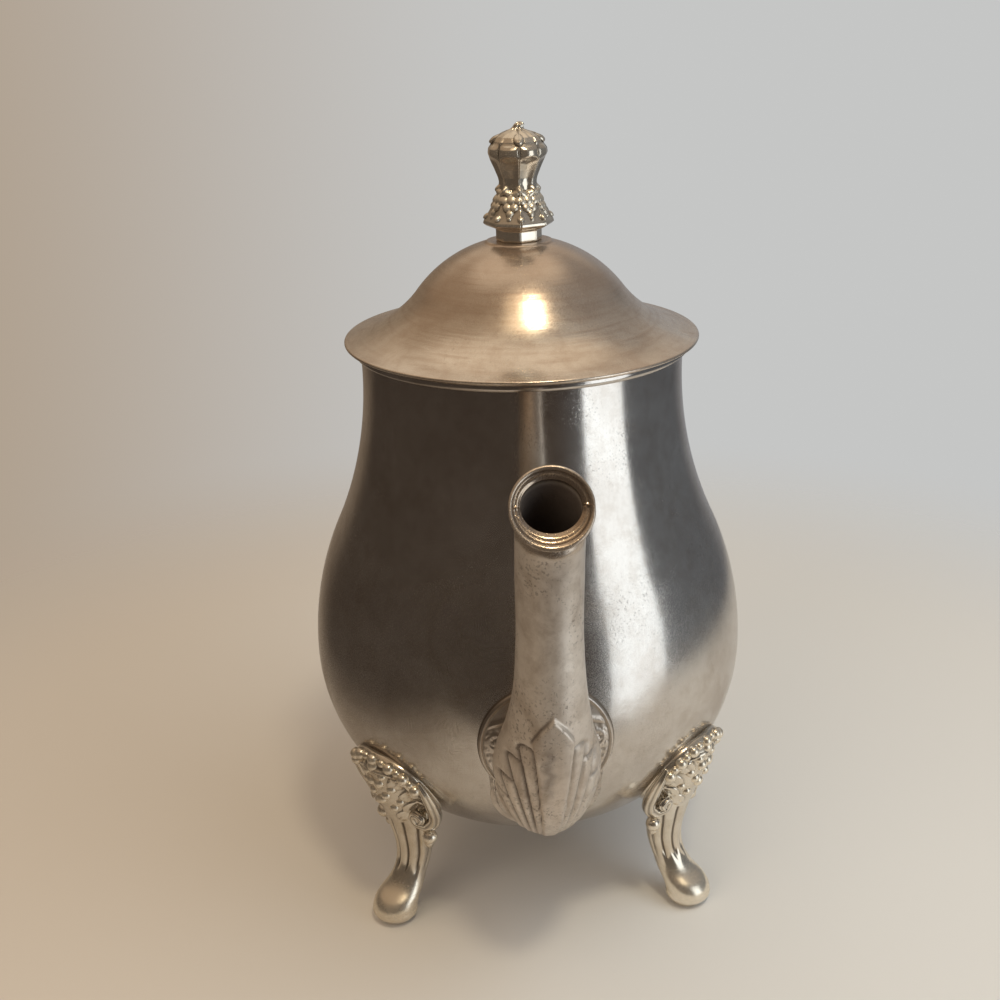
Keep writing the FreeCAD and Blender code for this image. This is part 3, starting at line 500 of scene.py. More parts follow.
# Lid: seat for the finial, dome, flare, rounded rim, and the same curves underneath.
lid = dict(
    domeCentre=171.485, dome=40.0, flareCentre=(60.223, 217.580), flare=35.839, rimAngle=10.0,
    seat=10.0, seatHeight=210.685, seatFlat=7.5, bore=2.05, wall=1.0, underFrom=7.86,
    seatEdge=[(-0.5, 0.0), (-0.15, -0.06), (0.0, -0.2), (0.2, -0.38)],  # from the seat's edge: out, up
    seatFillet=(0.5, 0.08), domeFrom=0.9, topSteps=(44, 60), underSteps=(30, 34),
    rimSpan=(80, -100), rimSteps=9, columns=320,
    wave=0.03, waves=4, waveRise=9.0, waveFade=30.0,
)
meet = math.degrees(math.atan2(lid["flareCentre"][1] - lid["domeCentre"], lid["flareCentre"][0]))


# The lid's curve from a radius outwards: the dome's arc, then the flare's, moved out by proud.
def lidCurve(proud, fromRadius, counts):
    steep = math.degrees(math.acos(fromRadius / (lid["dome"] + proud)))
    return np.concatenate([
        arc((0, lid["domeCentre"]), lid["dome"] + proud, steep, meet, counts[0]),
        arc(lid["flareCentre"], lid["flare"] - proud, 180 + meet, 270 - lid["rimAngle"], counts[1])[1:],
    ])


# Slow waves that fade out towards the seat.
def lidWave(angle, height):
    wave = lid["wave"] * (1 + np.sin(lid["waves"] * angle + height / lid["waveRise"]))
    return wave * ease(lid["seatHeight"], lid["domeCentre"] + lid["waveFade"], height)


lidTop = lidCurve(0.0, lid["seat"] + lid["domeFrom"], lid["topSteps"])
lidUnder = lidCurve(-lid["wall"], lid["underFrom"], lid["underSteps"])[::-1]
lidUnder = np.concatenate([lidUnder, [[lid["bore"], lid["seatHeight"] - lid["wall"]]]])
rimRound = arc((lidTop[-1] + lidUnder[0]) / 2, lid["wall"] / 2, *lid["rimSpan"], lid["rimSteps"])[1:-1]
seatEdge = np.array([lid["seat"], lid["seatHeight"]]) + lid["seatEdge"]
seatFlat = np.array([[lid["bore"], lid["seatHeight"]], [lid["seatFlat"], lid["seatHeight"]]])
seatFillet = np.array([[lid["seat"], lidTop[0, 1]]]) + lid["seatFillet"]
lidProfile = np.concatenate([seatFlat, seatEdge, seatFillet, lidTop, rimRound, lidUnder])[::-1]
lidPatch = spun(lidProfile, lid["columns"], lidWave)
makePiece("lidDome", [lidPatch], lidSilver, "lid", ["lid_dome"])
print("body and lid spun")

# Spout: ovals carried along a bent line. Places along it run from 0 at the root to 1 at the lip.
spout = dict(
    sections=[  # reach from the axis, height, tilt, half depth, half width
        (42.0, 37.0, 0.0, 9.0, 4.0), (52.0, 48.0, 0.0, 19.6, 11.5), (61.0, 60.0, 0.0, 22.5, 14.8),
        (70.0, 75.0, 0.0, 20.0, 15.6), (78.0, 90.0, 0.0, 15.0, 12.4), (83.0, 104.0, 2.0, 10.4, 10.2),
        (84.5, 120.0, 4.0, 9.2, 9.15), (86.5, 140.0, 9.0, 9.2, 9.15), (90.4, 154.0, 30.0, 9.2, 9.15),
        (94.8, 161.4, 55.0, 9.5, 9.45), (96.4, 162.5, 58.0, 10.95, 10.9),
    ],
    wall=1.4, leastHalf=0.4, rows=230, backRows=150, backFrom=0.50,
    lipBore=(6.8, 7.8), lipShift=0.8, lipSunk=1.5, lipRound=0.75, lipFrom=(0.93, 0.995),
    rimSteps=14, rollEnd=0.9, rollPower=0.6, slopeShare=0.3, rimDrop=(0.965, 1.0),
    seamSwing=(96.0, 106.0), seamRise=(100, 108), seamWidth=0.035, seamDepth=0.10,
    notchDepth=0.45, notchFrom=(0.975, 1.0),
    lipRub=0.55, lipRubFrom=(0.915, 0.935), rubWaves=((0.005, 3, 0), (0.004, 8, 1)),
    # the bore is painted dark as shade, fading out near the lip
    boreRubFrom=(0.975, 1.0), rimRub=0.9, boreShade=0.95, boreShadeEnd=(0.965, 0.998),
)

# Fluted shell on the spout's root: a pointed leaf and round-ended flutes that fan out from a point below.
shell = dict(
    fanFoot=26.0, leastRise=2.0, fade=(40, 62), front=(52.0, 58.0), rise=1.4,
    flutes=[0.0, 0.088, 0.155, 0.222, 0.298, 0.385, 0.485, 0.60, 0.75],  # side over rise
    edge=[(0.0, 100.5), (0.05, 96.5), (0.088, 92.5), (0.125, 90.0), (0.19, 84.5), (0.26, 76.0),
          (0.34, 67.5), (0.43, 61.0), (0.55, 55.0), (0.8, 46.0)],  # side over rise, height of the top
    fluteDepth=1.1, grooveEdge=0.55, flutesFade=(0.40, 0.56),
    leafEdge=(-0.9, 0.7), leafSide=0.016,
    # painted shadow over the leaf and painted shade in the flutes, both stronger on the left
    vein=(0.22, 0.0, 0.035), creaseShadow=(0.8, 0.5, 0.9),  # height, middle, width
    creaseShadowEnd=(0.085, 0.105), creaseShadowLeft=(1.0, -2.0), creaseShadowRight=0.25,
    fluteShadeSide=(6.0, -6.0), fluteShade=(0.45, 0.85),  # on the right, on the left
    stainSide=1.3, stainWaves=((0.5, 0.9, 0), (0.3, 2.1, 1)), stainWidth=1.9,
    stain=(0.5, (64, 82), (89, 96)),  # height, where it begins, where it ends
)


# Rings along the spout: centre, tilt and half sizes, made smaller by shrink.
def spoutRings(at, shrink):
    table = np.array(spout["sections"])
    keys = runLength(table)
    rings = throughPoints(keys, table, at * keys[-1])
    rings[:, 3:] = np.maximum(rings[:, 3:] - shrink, spout["leastHalf"])
    return rings


# Points of rings at an angle from their front: centre + depth * cos along a tilted axis + width * sin across.
def ringPoints(rings, angle):
    x, z, tilt, depth, width = [column[:, None] for column in rings.T]
    tilt = np.radians(tilt)
    front = depth * np.cos(angle)
    return xyz(x + front * np.cos(tilt), width * np.sin(angle), z - front * np.sin(tilt))


# Direction straight out of an oval: cos over depth along the tilted axis, sin over width across.
def ringNormals(rings, angle):
    tilt, depth, width = [np.radians(rings[:, 2:3]), rings[:, 3:4], rings[:, 4:5]]
    out, side = np.cos(angle) / depth, np.sin(angle) / width
    return xyz(out * np.cos(tilt), side, -out * np.sin(tilt)) / np.hypot(out, side)[..., None]


# A sum of sines, each with its height, its rate and its start.
def waviness(waves, x):
    return sum(height * np.sin(rate * x + start) for height, rate, start in waves)


# Height of the shell's relief: a raised pointed leaf in the middle, and round-ended flutes sunk beside it.
def shellRelief(points):
    x, y, z = np.moveaxis(points, -1, 0)
    rise = np.maximum(z - shell["fanFoot"], shell["leastRise"])
    fan = np.abs(y) / rise
    flutes = shell["flutes"]
    tops = np.array(shell["edge"]).T
    fade = ease(*shell["fade"], z)
    sunk = np.zeros_like(fan)
    for left, right in zip(flutes[1:-1], flutes[2:]):
        half = (right - left) / 2 * rise
        across = (fan - (left + right) / 2) * rise / half
        past = np.maximum(z - np.interp((left + right) / 2, *tops) + half, 0) / half
        far = np.hypot(across, past)
        within = 1 - np.sqrt(np.clip(1 - far ** 2, 0, 1))
        beyond = bell(np.maximum(far - 1, 0) * half, shell["grooveEdge"])
        sunk = np.maximum(sunk, np.where(far < 1, within, beyond))
    sunk = sunk * fade * (1 - ease(*shell["flutesFade"], fan))
    overEdge = z - np.interp(fan, *tops)
    leaf = 1 - ease(*shell["leafEdge"], overEdge)
    leaf = leaf * (1 - ease(flutes[1] - shell["leafSide"], flutes[1], fan))
    front = ease(*shell["front"], x)
    lift = shell["rise"] * leaf * fade * (front - ridge(shell["vein"], fan)) - shell["fluteDepth"] * sunk
    # painted shade lies in the flutes and a painted shadow in the corner over the leaf, both mostly on the
    # left, and a stain on the leaf
    least = shell["creaseShadowRight"]
    creaseShadow = ridge(shell["creaseShadow"], overEdge) * (1 - ease(*shell["creaseShadowEnd"], fan)) * front
    creaseShadow = creaseShadow * (least + (1 - least) * ease(*shell["creaseShadowLeft"], y))
    clean, dirty = shell["fluteShade"]
    fluteShade = clean + (dirty - clean) * ease(*shell["fluteShadeSide"], y)
    sway = shell["stainSide"] + waviness(shell["stainWaves"], z)
    stain = bell(y + sway, shell["stainWidth"]) * swell(shell["stain"], z) * front
    return lift, np.clip(1 - fluteShade * sunk * (1 - leaf) - creaseShadow - stain, 0, 1)


# Half of the spout as one closed skin: outside, rounded lip, bore. Its seam swings from back to sides.
def spoutHalf(isFront, outColumns, inColumns):
    at = np.linspace(0, 1, spout["rows"]) if isFront else np.linspace(spout["backFrom"], 1, spout["backRows"])
    outer = spoutRings(at, 0.0)
    inner = spoutRings(at, spout["wall"])
    toLip = ease(*spout["lipFrom"], at)
    inner[:, 3:] += (np.array(spout["lipBore"]) - inner[:, 3:]) * toLip[:, None]
    lean = np.radians(inner[:, 2])
    inner[:, 0] -= toLip * (spout["lipShift"] * np.cos(lean) + spout["lipSunk"] * np.sin(lean))
    inner[:, 1] += toLip * (spout["lipShift"] * np.sin(lean) - spout["lipSunk"] * np.cos(lean))
    half = np.radians(180 - 90 * ease(*spout["seamSwing"], outer[:, 1]))[:, None]
    share = np.linspace(-1, 1, outColumns)[None, :]
    shareIn = np.linspace(1, -1, inColumns)[None, :]
    middle, spread = (0.0, half) if isFront else (math.pi, math.pi - half)
    angleOut, angleIn = middle + spread * share, middle + spread * shareIn
    seam = bell(1 - np.abs(share), spout["seamWidth"]) * ease(*spout["seamRise"], outer[:, 1])[:, None]
    points = ringPoints(outer, angleOut)
    lift, relief = shellRelief(points) if isFront else (0 * angleOut, 1 + 0 * angleOut)
    notch = spout["notchDepth"] * ease(*spout["notchFrom"], at)[:, None]
    lift = lift - seam * (spout["seamDepth"] + notch)
    outerGrid = points + ringNormals(outer, angleOut) * lift[..., None]
    innerGrid = ringPoints(inner, angleIn)
    # the rim is a roll outside and a worn slope down to the bore; both sides meet halfway
    tilt = math.radians(outer[-1, 2])
    axis = np.array([math.sin(tilt), 0, math.cos(tilt)])
    halfWay = (inner[-1] - outer[-1]) / 2
    rim = []
    for k in np.linspace(0, 1, spout["rimSteps"])[1:]:
        roll = spout["lipRound"] * np.sin(math.pi * np.minimum(k / spout["rollEnd"], 1)) ** spout["rollPower"]
        slope = spout["slopeShare"] * spout["lipRound"] * np.sin(math.pi * k) ** 2
        rolled = ringPoints(outer[-1:] + k * halfWay, angleOut[-1:]) + axis * roll
        sloped = ringPoints(inner[-1:] - k * halfWay, angleIn[-1:]) + axis * slope
        rim.append(np.concatenate([rolled, sloped], axis=1))
    grid = np.concatenate([np.concatenate([outerGrid, innerGrid], axis=1)] + rim)
    drop = ease(*spout["rimDrop"], np.concatenate([at, np.ones(len(rim))]))
    grid = seatOnPot(grid - axis * spout["lipRound"] * drop[:, None, None])
    # rubbed bright round the lip down to an uneven border; the bore is painted dark as shade towards its root
    border = at[:, None] + waviness(spout["rubWaves"], angleOut)
    rubbed = [spout["lipRub"] * ease(*spout["lipRubFrom"], border),
              ease(*spout["boreRubFrom"], at)[:, None] + 0 * angleIn]
    onRim = np.linspace([spout["lipRub"]] * outColumns + [1.0] * inColumns, spout["rimRub"], len(rim))
    wornAndGleam = np.concatenate([np.concatenate(rubbed, axis=1), onRim])
    bore = 1 - spout["boreShade"] * (1 - ease(*spout["boreShadeEnd"], at))[:, None] + 0 * angleIn
    bright = np.concatenate([relief, bore], axis=1)
    bright = np.concatenate([bright, np.ones((len(rim), bright.shape[1]))])
    root = np.broadcast_to(grid[0].mean(axis=0), grid[:1].shape)  # closes the root to a point
    pairs = ((root, grid), (bright[:1], bright), (wornAndGleam[:1], wornAndGleam))
    return patch(*[np.concatenate(pair) for pair in pairs])


makePiece("spoutFront", [spoutHalf(True, 181, 41)], spoutSilver, "pot", ["spout_front_half"])
makePiece("spoutBack", [spoutHalf(False, 61, 31)], spoutSilver, "pot", ["spout_back_half"])

# Escutcheon: a round plate that hugs the pot, with a raised rim, scrolls on each side and a matted ground.
shield = dict(
    radius=20.0, bore=7.0, height=77.5, rings=110, columns=300, ground=0.8, rise=0.5,
    edge=(19.5, 20.0), rim=(1.0, 19.1, 0.5), innerEdge=(17.4, 18.4), low=(2, 8),
    scrolls=[  # share, centre, pitch, hand, reach
        (1.0, (14.2, 2.2), 2.6, -1, 4.6), (0.9, (12.8, -7.5), 2.2, 1, 4.0),
    ],
    scrollRise=0.8, seed=7, knobs=170, knobSide=(6, 18.5), knobHeight=(-17, 8),
    knobSize=(0.5, 1.0), knobRise=0.7, band=(14, 8.0), bandSlope=0.35, bandWidth=0.8,
    passes=30, gain=5.0,
)


# Height of a scroll: a spiral ridge about a centre, its pitch in millimetres a turn, with a knob inside.
def scrollRelief(y, z, centre, pitch, hand, reach):
    dy, dz = y - centre[0], z - centre[1]
    far = np.hypot(dy, dz)
    swirl = np.cos(turn * far / pitch - hand * np.arctan2(dz, dy))
    return (0.5 + 0.5 * swirl) * (1 - ease(reach * 0.75, reach, far)) + bell(far, pitch * 0.45) * 0.6


# Height of the plate's face: ground, a rim, and the highest of scrolls, scattered knobs and a slanted band.
def shieldHeight(y, z):
    far = np.hypot(y, z)
    side = np.abs(y)
    scroll = sum(share * scrollRelief(side, z, *shape) for share, *shape in shield["scrolls"])
    spots = np.random.default_rng(shield["seed"])
    knobY, knobZ, knobSize = [spots.uniform(*shield[span], shield["knobs"])
                              for span in ("knobSide", "knobHeight", "knobSize")]
    knobs = bell(np.hypot(side[..., None] - knobY, z[..., None] - knobZ), knobSize).max(axis=-1)
    bandSide, bandHeight = shield["band"]
    band = bell(z - bandHeight + shield["bandSlope"] * (side - bandSide), shield["bandWidth"])
    low = 1 - ease(*shield["low"], z)
    relief = np.maximum(scroll * shield["scrollRise"] * low, knobs * shield["knobRise"] * low)
    inner = np.maximum(relief, band) * (1 - ease(*shield["innerEdge"], far))
    rim = ridge(shield["rim"], far)
    return shield["ground"] * (1 - ease(*shield["edge"], far)) + shield["rise"] * np.maximum(inner, rim)


# Rings from the bore to the edge on the pot's side, the face raised by its height, closed by a plain back.
def shieldPatch():
    far = np.linspace(shield["bore"], shield["radius"], shield["rings"])[:, None]
    around = roundAngles(shield["columns"])
    y, z = far * np.sin(around), far * np.cos(around)
    height = shieldHeight(y, z)
    relief = highGround(height, shield["passes"], shield["gain"])
    level = shield["height"] + z
    across = potRadius(level) + film
    face, back = offAxis(across + height, y, level), offAxis(across, y, level)
    grid = np.concatenate([face[::-1], back[[0, -1]]])
    field = np.concatenate([relief[::-1], relief[[0, -1]]])
    return patch(grid, field, wrapRows=True)


makePiece("spoutEscutcheon", [shieldPatch()], shieldSilver, "pot", ["spout_escutcheon"])
print("spout and its plate done")

# Finial: octagonal rings with leaf clusters, hollowed bud faces and a lobed crown.
finial = dict(
    sections=[  # height, radius to an edge
        (0.0, 6.7), (0.4, 6.9), (3.1, 6.9), (3.6, 7.1), (3.9, 8.2), (4.6, 9.9), (5.3, 10.7), (6.0, 10.5),
        (7.3, 9.7), (9.0, 8.7), (11.0, 7.6), (13.0, 6.5), (14.4, 5.9), (15.4, 5.5), (16.4, 5.4), (18.5, 5.9),
        (21.0, 6.9), (23.6, 8.1), (25.6, 8.6), (27.7, 8.3), (29.0, 7.6), (30.2, 6.4), (31.2, 4.7),
        (31.8, 3.2), (32.1, 2.2), (32.7, 1.7), (33.4, 1.6), (34.0, 1.0), (34.2, 0.5),
    ],
    rings=190, columns=320, most=10.75, crownRound=(28.0, 31.0), crownShare=0.97,
    budHollow=(0.45, (15.5, 18.5), (22.6, 25.0)), lobe=(1.0, (23.2, 25.4), (26.6, 28.6)),
    cleft=0.5, cleftFrom=(24, 26), rib=(0.6, (27.5, 29.0), (31.0, 31.9)), ribWidth=0.7,
    knob=(1.3, 1.5, 1.4, 29.6), bead=(0.8, 0.9, 0.9, 7.4),  # rise, half width, half height, height
    petals=[  # side, height, size
        (0.9, 14.2, 1.0), (-0.9, 14.2, 1.0), (0.0, 12.6, 1.4), (1.9, 12.4, 1.15), (-1.9, 12.4, 1.15),
        (1.0, 10.6, 1.25), (-1.0, 10.6, 1.25), (0.0, 9.0, 1.1), (0.0, 7.6, 0.7),
    ],
    petalRise=0.75, faceShare=0.96, tip=(1.3, 15.2, 1.1), tipWidth=0.9,
    tipLean=0.8, leanFrom=(31.8, 34.0),
    passes=24, gain=2.6, gleamFrom=(0.1, 0.6),
)


# A boss on the finial: a dome with a rise, two half sizes and a height.
def boss(shape, across, z):
    rise, wide, high, level = shape
    return rise * dome(across / wide, (z - level) / high)


# Radius at (angle, z): an octagon, round at the crown, plus hollows, lobes, knobs, ribs, petals, tips, beads.
def finialPatch():
    table = np.array(finial["sections"])
    height = np.linspace(0, table[-1, 0], finial["rings"])
    radius = np.interp(height, table[:, 0], table[:, 1])[:, None]
    angle = roundAngles(finial["columns"])
    z = height[:, None] + 0 * angle
    eighth = turn / 8
    fromEdge = (angle + eighth / 2) % eighth - eighth / 2
    fromFace = np.sign(fromEdge) * (np.abs(fromEdge) - eighth / 2)
    octagon = math.cos(eighth / 2) / np.cos(fromFace)
    roundness = ease(*finial["crownRound"], z)
    out = radius * (octagon * (1 - roundness) + roundness * finial["crownShare"])
    face = np.cos(fromFace / (eighth / 2) * math.pi / 2)  # 1 in the middle of a face, 0 on an edge
    edgeGap = fromEdge * radius
    hollow = -face * swell(finial["budHollow"], z)
    lobes = np.sqrt(np.maximum(face, 0)) * swell(finial["lobe"], z)
    lobes = lobes - finial["cleft"] * (1 - face) * ease(*finial["cleftFrom"], z)
    fromCrown = np.abs((angle + eighth) % (2 * eighth) - eighth) * radius
    knobs = boss(finial["knob"], fromCrown, z)
    ribs = bell(edgeGap, finial["ribWidth"]) * swell(finial["rib"], z)
    clusters = np.zeros_like(z)
    for across, level, size in finial["petals"]:
        away = fromFace * radius * finial["faceShare"] - across
        petal = boss((size * finial["petalRise"], size, size, level), away, z)
        clusters = np.maximum(clusters, petal)
    tips = bell(edgeGap, finial["tipWidth"]) * ridge(finial["tip"], z)
    leafage = clusters + tips + boss(finial["bead"], edgeGap, z)
    out = np.minimum(out + (hollow + lobes + np.maximum(knobs, ribs) + leafage), finial["most"])
    lean = finial["tipLean"] * ease(*finial["leanFrom"], z)
    grid = xyz(out * np.cos(angle), out * np.sin(angle) + lean, lid["seatHeight"] + z)
    relief = highGround(leafage + lobes + knobs + ribs, finial["passes"], finial["gain"])
    # the leaf clusters carry a painted warm highlight
    return patch(*capped(grid, relief, ease(*finial["gleamFrom"], leafage)))


makePiece("finialKnob", [finialPatch()], castSilver, "lid", ["finial"])

# Feet: a fluted cabriole leg on a ball toe, a shield on the bowl with a swelling knee, beads, reeded scrolls.
foot = dict(
    sections=[  # reach, height, half depth, half width
        (65.2, 0.0, 4.4, 4.8), (65.2, 0.5, 5.3, 5.7), (65.3, 1.5, 5.9, 6.3), (65.3, 1.9, 6.4, 6.8),
        (65.1, 5.0, 7.0, 7.4), (63.4, 8.2, 6.7, 7.1), (60.4, 11.0, 5.9, 6.3), (58.0, 14.5, 5.3, 5.7),
        (56.4, 18.0, 5.2, 5.8), (55.6, 22.0, 5.4, 6.3), (55.8, 26.0, 5.5, 6.9), (56.6, 30.0, 5.5, 7.9),
        (57.2, 34.0, 5.8, 9.0), (57.6, 38.0, 6.4, 9.4), (57.8, 42.0, 6.0, 8.6), (57.8, 45.0, 4.0, 6.0),
    ],
    rings=160, columns=120, flute=(1.0, (13.5, 19.0), (36.0, 41.0)), fluteTurn=4.5,
    flutePower=1.2, fluteFront=(-0.5, 0.2), flutePasses=20, fluteGain=2.2,
    toeGleam=(0.75, (2.0, 5.0), (11.0, 15.0)),
    plateRings=90, plateColumns=260, backRings=9, platePasses=26, plateGain=2.4,
    middle=50.0, half=16.0, rise=13.8, fall=13.5, riseRound=2.3, fallRound=2.1,
    slab=2.3, slabRound=1.4, upper=(44.0, 52.0),
    mouldings=[(0.2, 1.3, 0.8), (-0.9, 3.6, 1.0), (0.9, 5.2, 0.9)],  # height, distance from the edge, width
    knee=[  # height, reach, half width
        (34.0, 63.0, 8.5), (38.0, 64.6, 9.4), (42.0, 66.0, 10.2), (47.0, 68.0, 10.8), (52.0, 69.6, 11.0),
        (57.0, 70.6, 10.4), (61.0, 70.4, 9.0), (64.0, 69.0, 7.5), (67.0, 66.0, 5.0),
    ],
    kneeFall=8.0, kneePower=2.6, kneeBlend=1.0,
    leaves=[  # side, height, size, rise
        (7.4, 55.0, 2.2, 1.1), (9.2, 49.5, 2.1, 1.1), (8.4, 44.0, 2.0, 1.0), (5.6, 40.4, 1.9, 0.9),
    ],
    leafLean=(0.62, 0.78), leafLong=1.5, leafVein=0.35, leafVeinWidth=0.18,
    berries=[  # side, height, size
        (0.0, 59.8, 2.1), (3.2, 57.0, 1.6), (1.6, 54.0, 2.0), (5.2, 52.4, 1.8), (2.7, 49.2, 1.7),
        (0.0, 46.6, 2.1), (6.2, 47.0, 1.5), (3.6, 43.8, 1.6),
    ],
    berryEdge=8.0, berrySunk=0.38, beads=13, beadInset=1.9, beadSpan=72.0, beadSizes=(1.9, 1.3),
    beadProud=2.2, beadLift=0.4, beadGrid=(11, 18), beadGleam=0.8,
    scrollBalls=[  # place, sizes, rings and columns, painted gleam
        ((58.2, 10.9, 32.2), (2.4, 2.4, 2.4), (13, 22), 0.5),
        ((57.2, 9.4, 28.8), (1.6, 1.5, 1.9), (11, 18), 0.0),
    ],
    scroll=[  # side, height, how far it stands out from the bowl, half thickness
        (14.4, 57.0, 1.2, 0.8), (15.8, 52.5, 2.2, 1.5), (16.0, 47.5, 3.2, 1.9), (15.0, 42.5, 4.6, 2.0),
        (12.9, 38.4, 7.0, 1.9), (10.2, 36.4, 9.2, 1.7), (7.8, 37.6, 9.4, 1.5), (7.6, 40.2, 7.8, 1.4),
        (9.4, 41.8, 7.0, 1.3), (11.2, 40.6, 7.8, 1.2), (10.4, 39.0, 9.4, 1.0),
    ],
    scrollRings=120, scrollColumns=30, reeds=6, reedDepth=0.10, reedShadeAndDirt=0.65, reedGain=4,
)


# The leg: ovals carried up a curved line, with grooves between flutes on its front.
def footLeg():
    table = np.array(foot["sections"])
    level = np.linspace(0, table[-1, 1], foot["rings"])
    reach, depth, width = [throughPoints(table[:, 1], table[:, k], level)[:, None] for k in (0, 2, 3)]
    angle = roundAngles(foot["columns"])
    z = level[:, None] + 0 * angle
    onFlutes = swell(foot["flute"], z) * ease(*foot["fluteFront"], np.cos(angle))
    flute = -(1 - np.abs(np.cos(angle * foot["fluteTurn"]))) ** foot["flutePower"] * onFlutes
    grid = xyz(reach + (depth + flute) * np.cos(angle), (width + flute) * np.sin(angle), z)
    relief = highGround(flute, foot["flutePasses"], foot["fluteGain"])
    # the toe's top carries a painted warm highlight
    return patch(*capped(seatOnPot(grid), relief, swell(foot["toeGleam"], z)))


# Reach of the shield's face from the pot's axis at (side, z): a slab with a rounded edge, with a groove and a
# ridge along its upper edge, the knee and leaf lumps. The second value is the carving alone.
def footFace(side, z, edge):
    upper = ease(*foot["upper"], z)
    slab = foot["slab"] * np.sqrt(np.clip(edge / foot["slabRound"], 0, 1))
    lip, groove, inner = [ridge(shape, edge) * upper for shape in foot["mouldings"]]
    keys, reach, half = np.array(foot["knee"]).T
    kneeReach, kneeHalf = throughPoints(keys, reach, z.ravel()).reshape(z.shape), np.interp(z, keys, half)
    knee = kneeReach - foot["kneeFall"] * np.clip(side / kneeHalf, 0, 1.5) ** foot["kneePower"]
    base = blendMax(potRadius(z) + film + slab + lip + groove, knee, foot["kneeBlend"])
    c, s = foot["leafLean"]
    lumps = np.zeros_like(z)
    for lumpY, lumpZ, size, rise in foot["leaves"]:
        along = ((side - lumpY) * c + (z - lumpZ) * s) / (size * foot["leafLong"])
        across = ((side - lumpY) * s - (z - lumpZ) * c) / size
        vein = foot["leafVein"] * bell(across, foot["leafVeinWidth"])
        lumps = np.maximum(lumps, rise * dome(along, across) * (1 - vein))
    return base + inner + lumps, lip + groove + inner + lumps


# The shield: rings from the middle out to a rounded outline, round its edge and in again over its back.
def footPlate():
    ring = np.linspace(0, 1, foot["plateRings"])[:, None]
    around = roundAngles(foot["plateColumns"])
    c, s = np.cos(around), np.sin(around)
    power = np.where(s > 0, 2 / foot["riseRound"], 2 / foot["fallRound"])
    outY = foot["half"] * np.sign(c) * np.abs(c) ** power
    outZ = np.where(s > 0, foot["rise"], foot["fall"]) * np.sign(s) * np.abs(s) ** power
    y, z = ring * outY, foot["middle"] + ring * outZ
    reach, detail = footFace(np.abs(y), z, (1 - ring) * np.hypot(outY, outZ))
    seat = potRadius(z) + film
    face, back = offAxis(np.maximum(reach, seat), y, z), offAxis(seat, y, z)
    inward = np.linspace(foot["plateRings"] - 1, 0, foot["backRings"]).astype(int)
    relief = highGround(detail, foot["platePasses"], foot["plateGain"])
    grid = np.concatenate([face, back[inward]])[::-1]
    return patch(grid, np.concatenate([relief, relief[inward]])[::-1])


# A reeded band that leaves the shield's side and curls up under it: an oval carried along a line on the bowl.
def footScroll(hand):
    table = np.array(foot["scroll"])
    keys = runLength(table)
    side, z, proud, thick = throughPoints(keys, table, np.linspace(0, keys[-1], foot["scrollRings"])).T
    line = offAxis(potRadius(z) + proud, hand * side, z)
    along = np.gradient(line, axis=0)
    along /= np.linalg.norm(along, axis=1, keepdims=True)
    across = np.cross(along, np.array([1.0, 0.0, 0.0]))
    across /= np.linalg.norm(across, axis=1, keepdims=True)
    out = np.cross(across, along)
    angle = roundAngles(foot["scrollColumns"])[..., None]
    reed = foot["reedDepth"] * np.cos(foot["reeds"] * angle)
    size = thick[:, None, None] * (1 + reed)
    grid = line[:, None] + size * (np.cos(angle) * across[:, None] + np.sin(angle) * out[:, None])
    # dirt and painted shade darken the grooves between the reeds
    height = (reed[..., 0] + foot["reedDepth"]) * foot["reedGain"] + 0 * thick[:, None]
    return patch(*capped(seatOnPot(grid), np.clip(1 - foot["reedShadeAndDirt"] + height, 0, 1)))


# Beads round the shield's upper edge, large and small in turn, berries on the knee, balls under each scroll.
def footBeads():
    # beads, berries and the larger scroll balls carry a painted warm highlight
    inset, gleam = foot["beadInset"], foot["beadGleam"]
    along = np.radians(np.linspace(90 - foot["beadSpan"], 90 + foot["beadSpan"], foot["beads"]))
    power = 2 / foot["riseRound"]
    side = (foot["half"] - inset) * np.sign(np.cos(along)) * np.abs(np.cos(along)) ** power
    level = foot["middle"] + (foot["rise"] - inset) * np.sin(along) ** power
    sizes = np.resize(foot["beadSizes"], foot["beads"])
    places = offAxis(potRadius(level) + (foot["beadProud"] + sizes * foot["beadLift"]), side, level)
    beads = [ball(place, size, *foot["beadGrid"], gleam) for place, size in zip(places, sizes)]
    y, z, sizes = np.array(foot["berries"]).T
    reach = footFace(y, z, foot["berryEdge"] + 0 * y)[0] - foot["berrySunk"] * sizes
    for k in range(len(y)):
        for hand in (-1, 1) if y[k] else (1,):
            beads.append(ball(offAxis(reach[k], hand * y[k], z[k]), sizes[k], *foot["beadGrid"], gleam))
    for hand in (-1, 1):
        for place, size, grid, ballGleam in foot["scrollBalls"]:
            beads.append(ball(np.array(place) * (1, hand, 1), size, *grid, ballGleam))
    return beads


footPatches = [footLeg(), footPlate(), footScroll(-1), footScroll(1)] + footBeads()
footPlaces = {  # node: piece, angle round the pot
    "foot_front_left": ("footFrontLeft", 47.5), "foot_rear_left": ("footRearLeft", 132.5),
    "foot_rear_right": ("footRearRight", 227.5), "foot_front_right": ("footFrontRight", 312.5),
}
for label, (piece, degrees) in footPlaces.items():
    spots = [turned(part, math.radians(degrees)) for part in footPatches]
    makePiece(piece, spots, castSilver, "pot", [label])
print("finial and feet done")

# Handle: an oval carried along a lead, an arc over, a bowed back and an arc in.
handle = dict(
    top=161.0, lead=(66.05, 69.05), upper=26.7618, side=94.5, upperSide=142.508,
    lowerSide=103.368, back=63.33, lower=24.0, lean=18.0, turnIn=60.0,
    leadSteps=6, upperSteps=46, backSteps=46, lowerSteps=34, columns=48,
    halfWidth=5.6, halfDepth=4.39, rib=0.16, ribSpread=0.004,
    groove=0.14, grooveAt=0.9, grooveSpread=0.003,
)


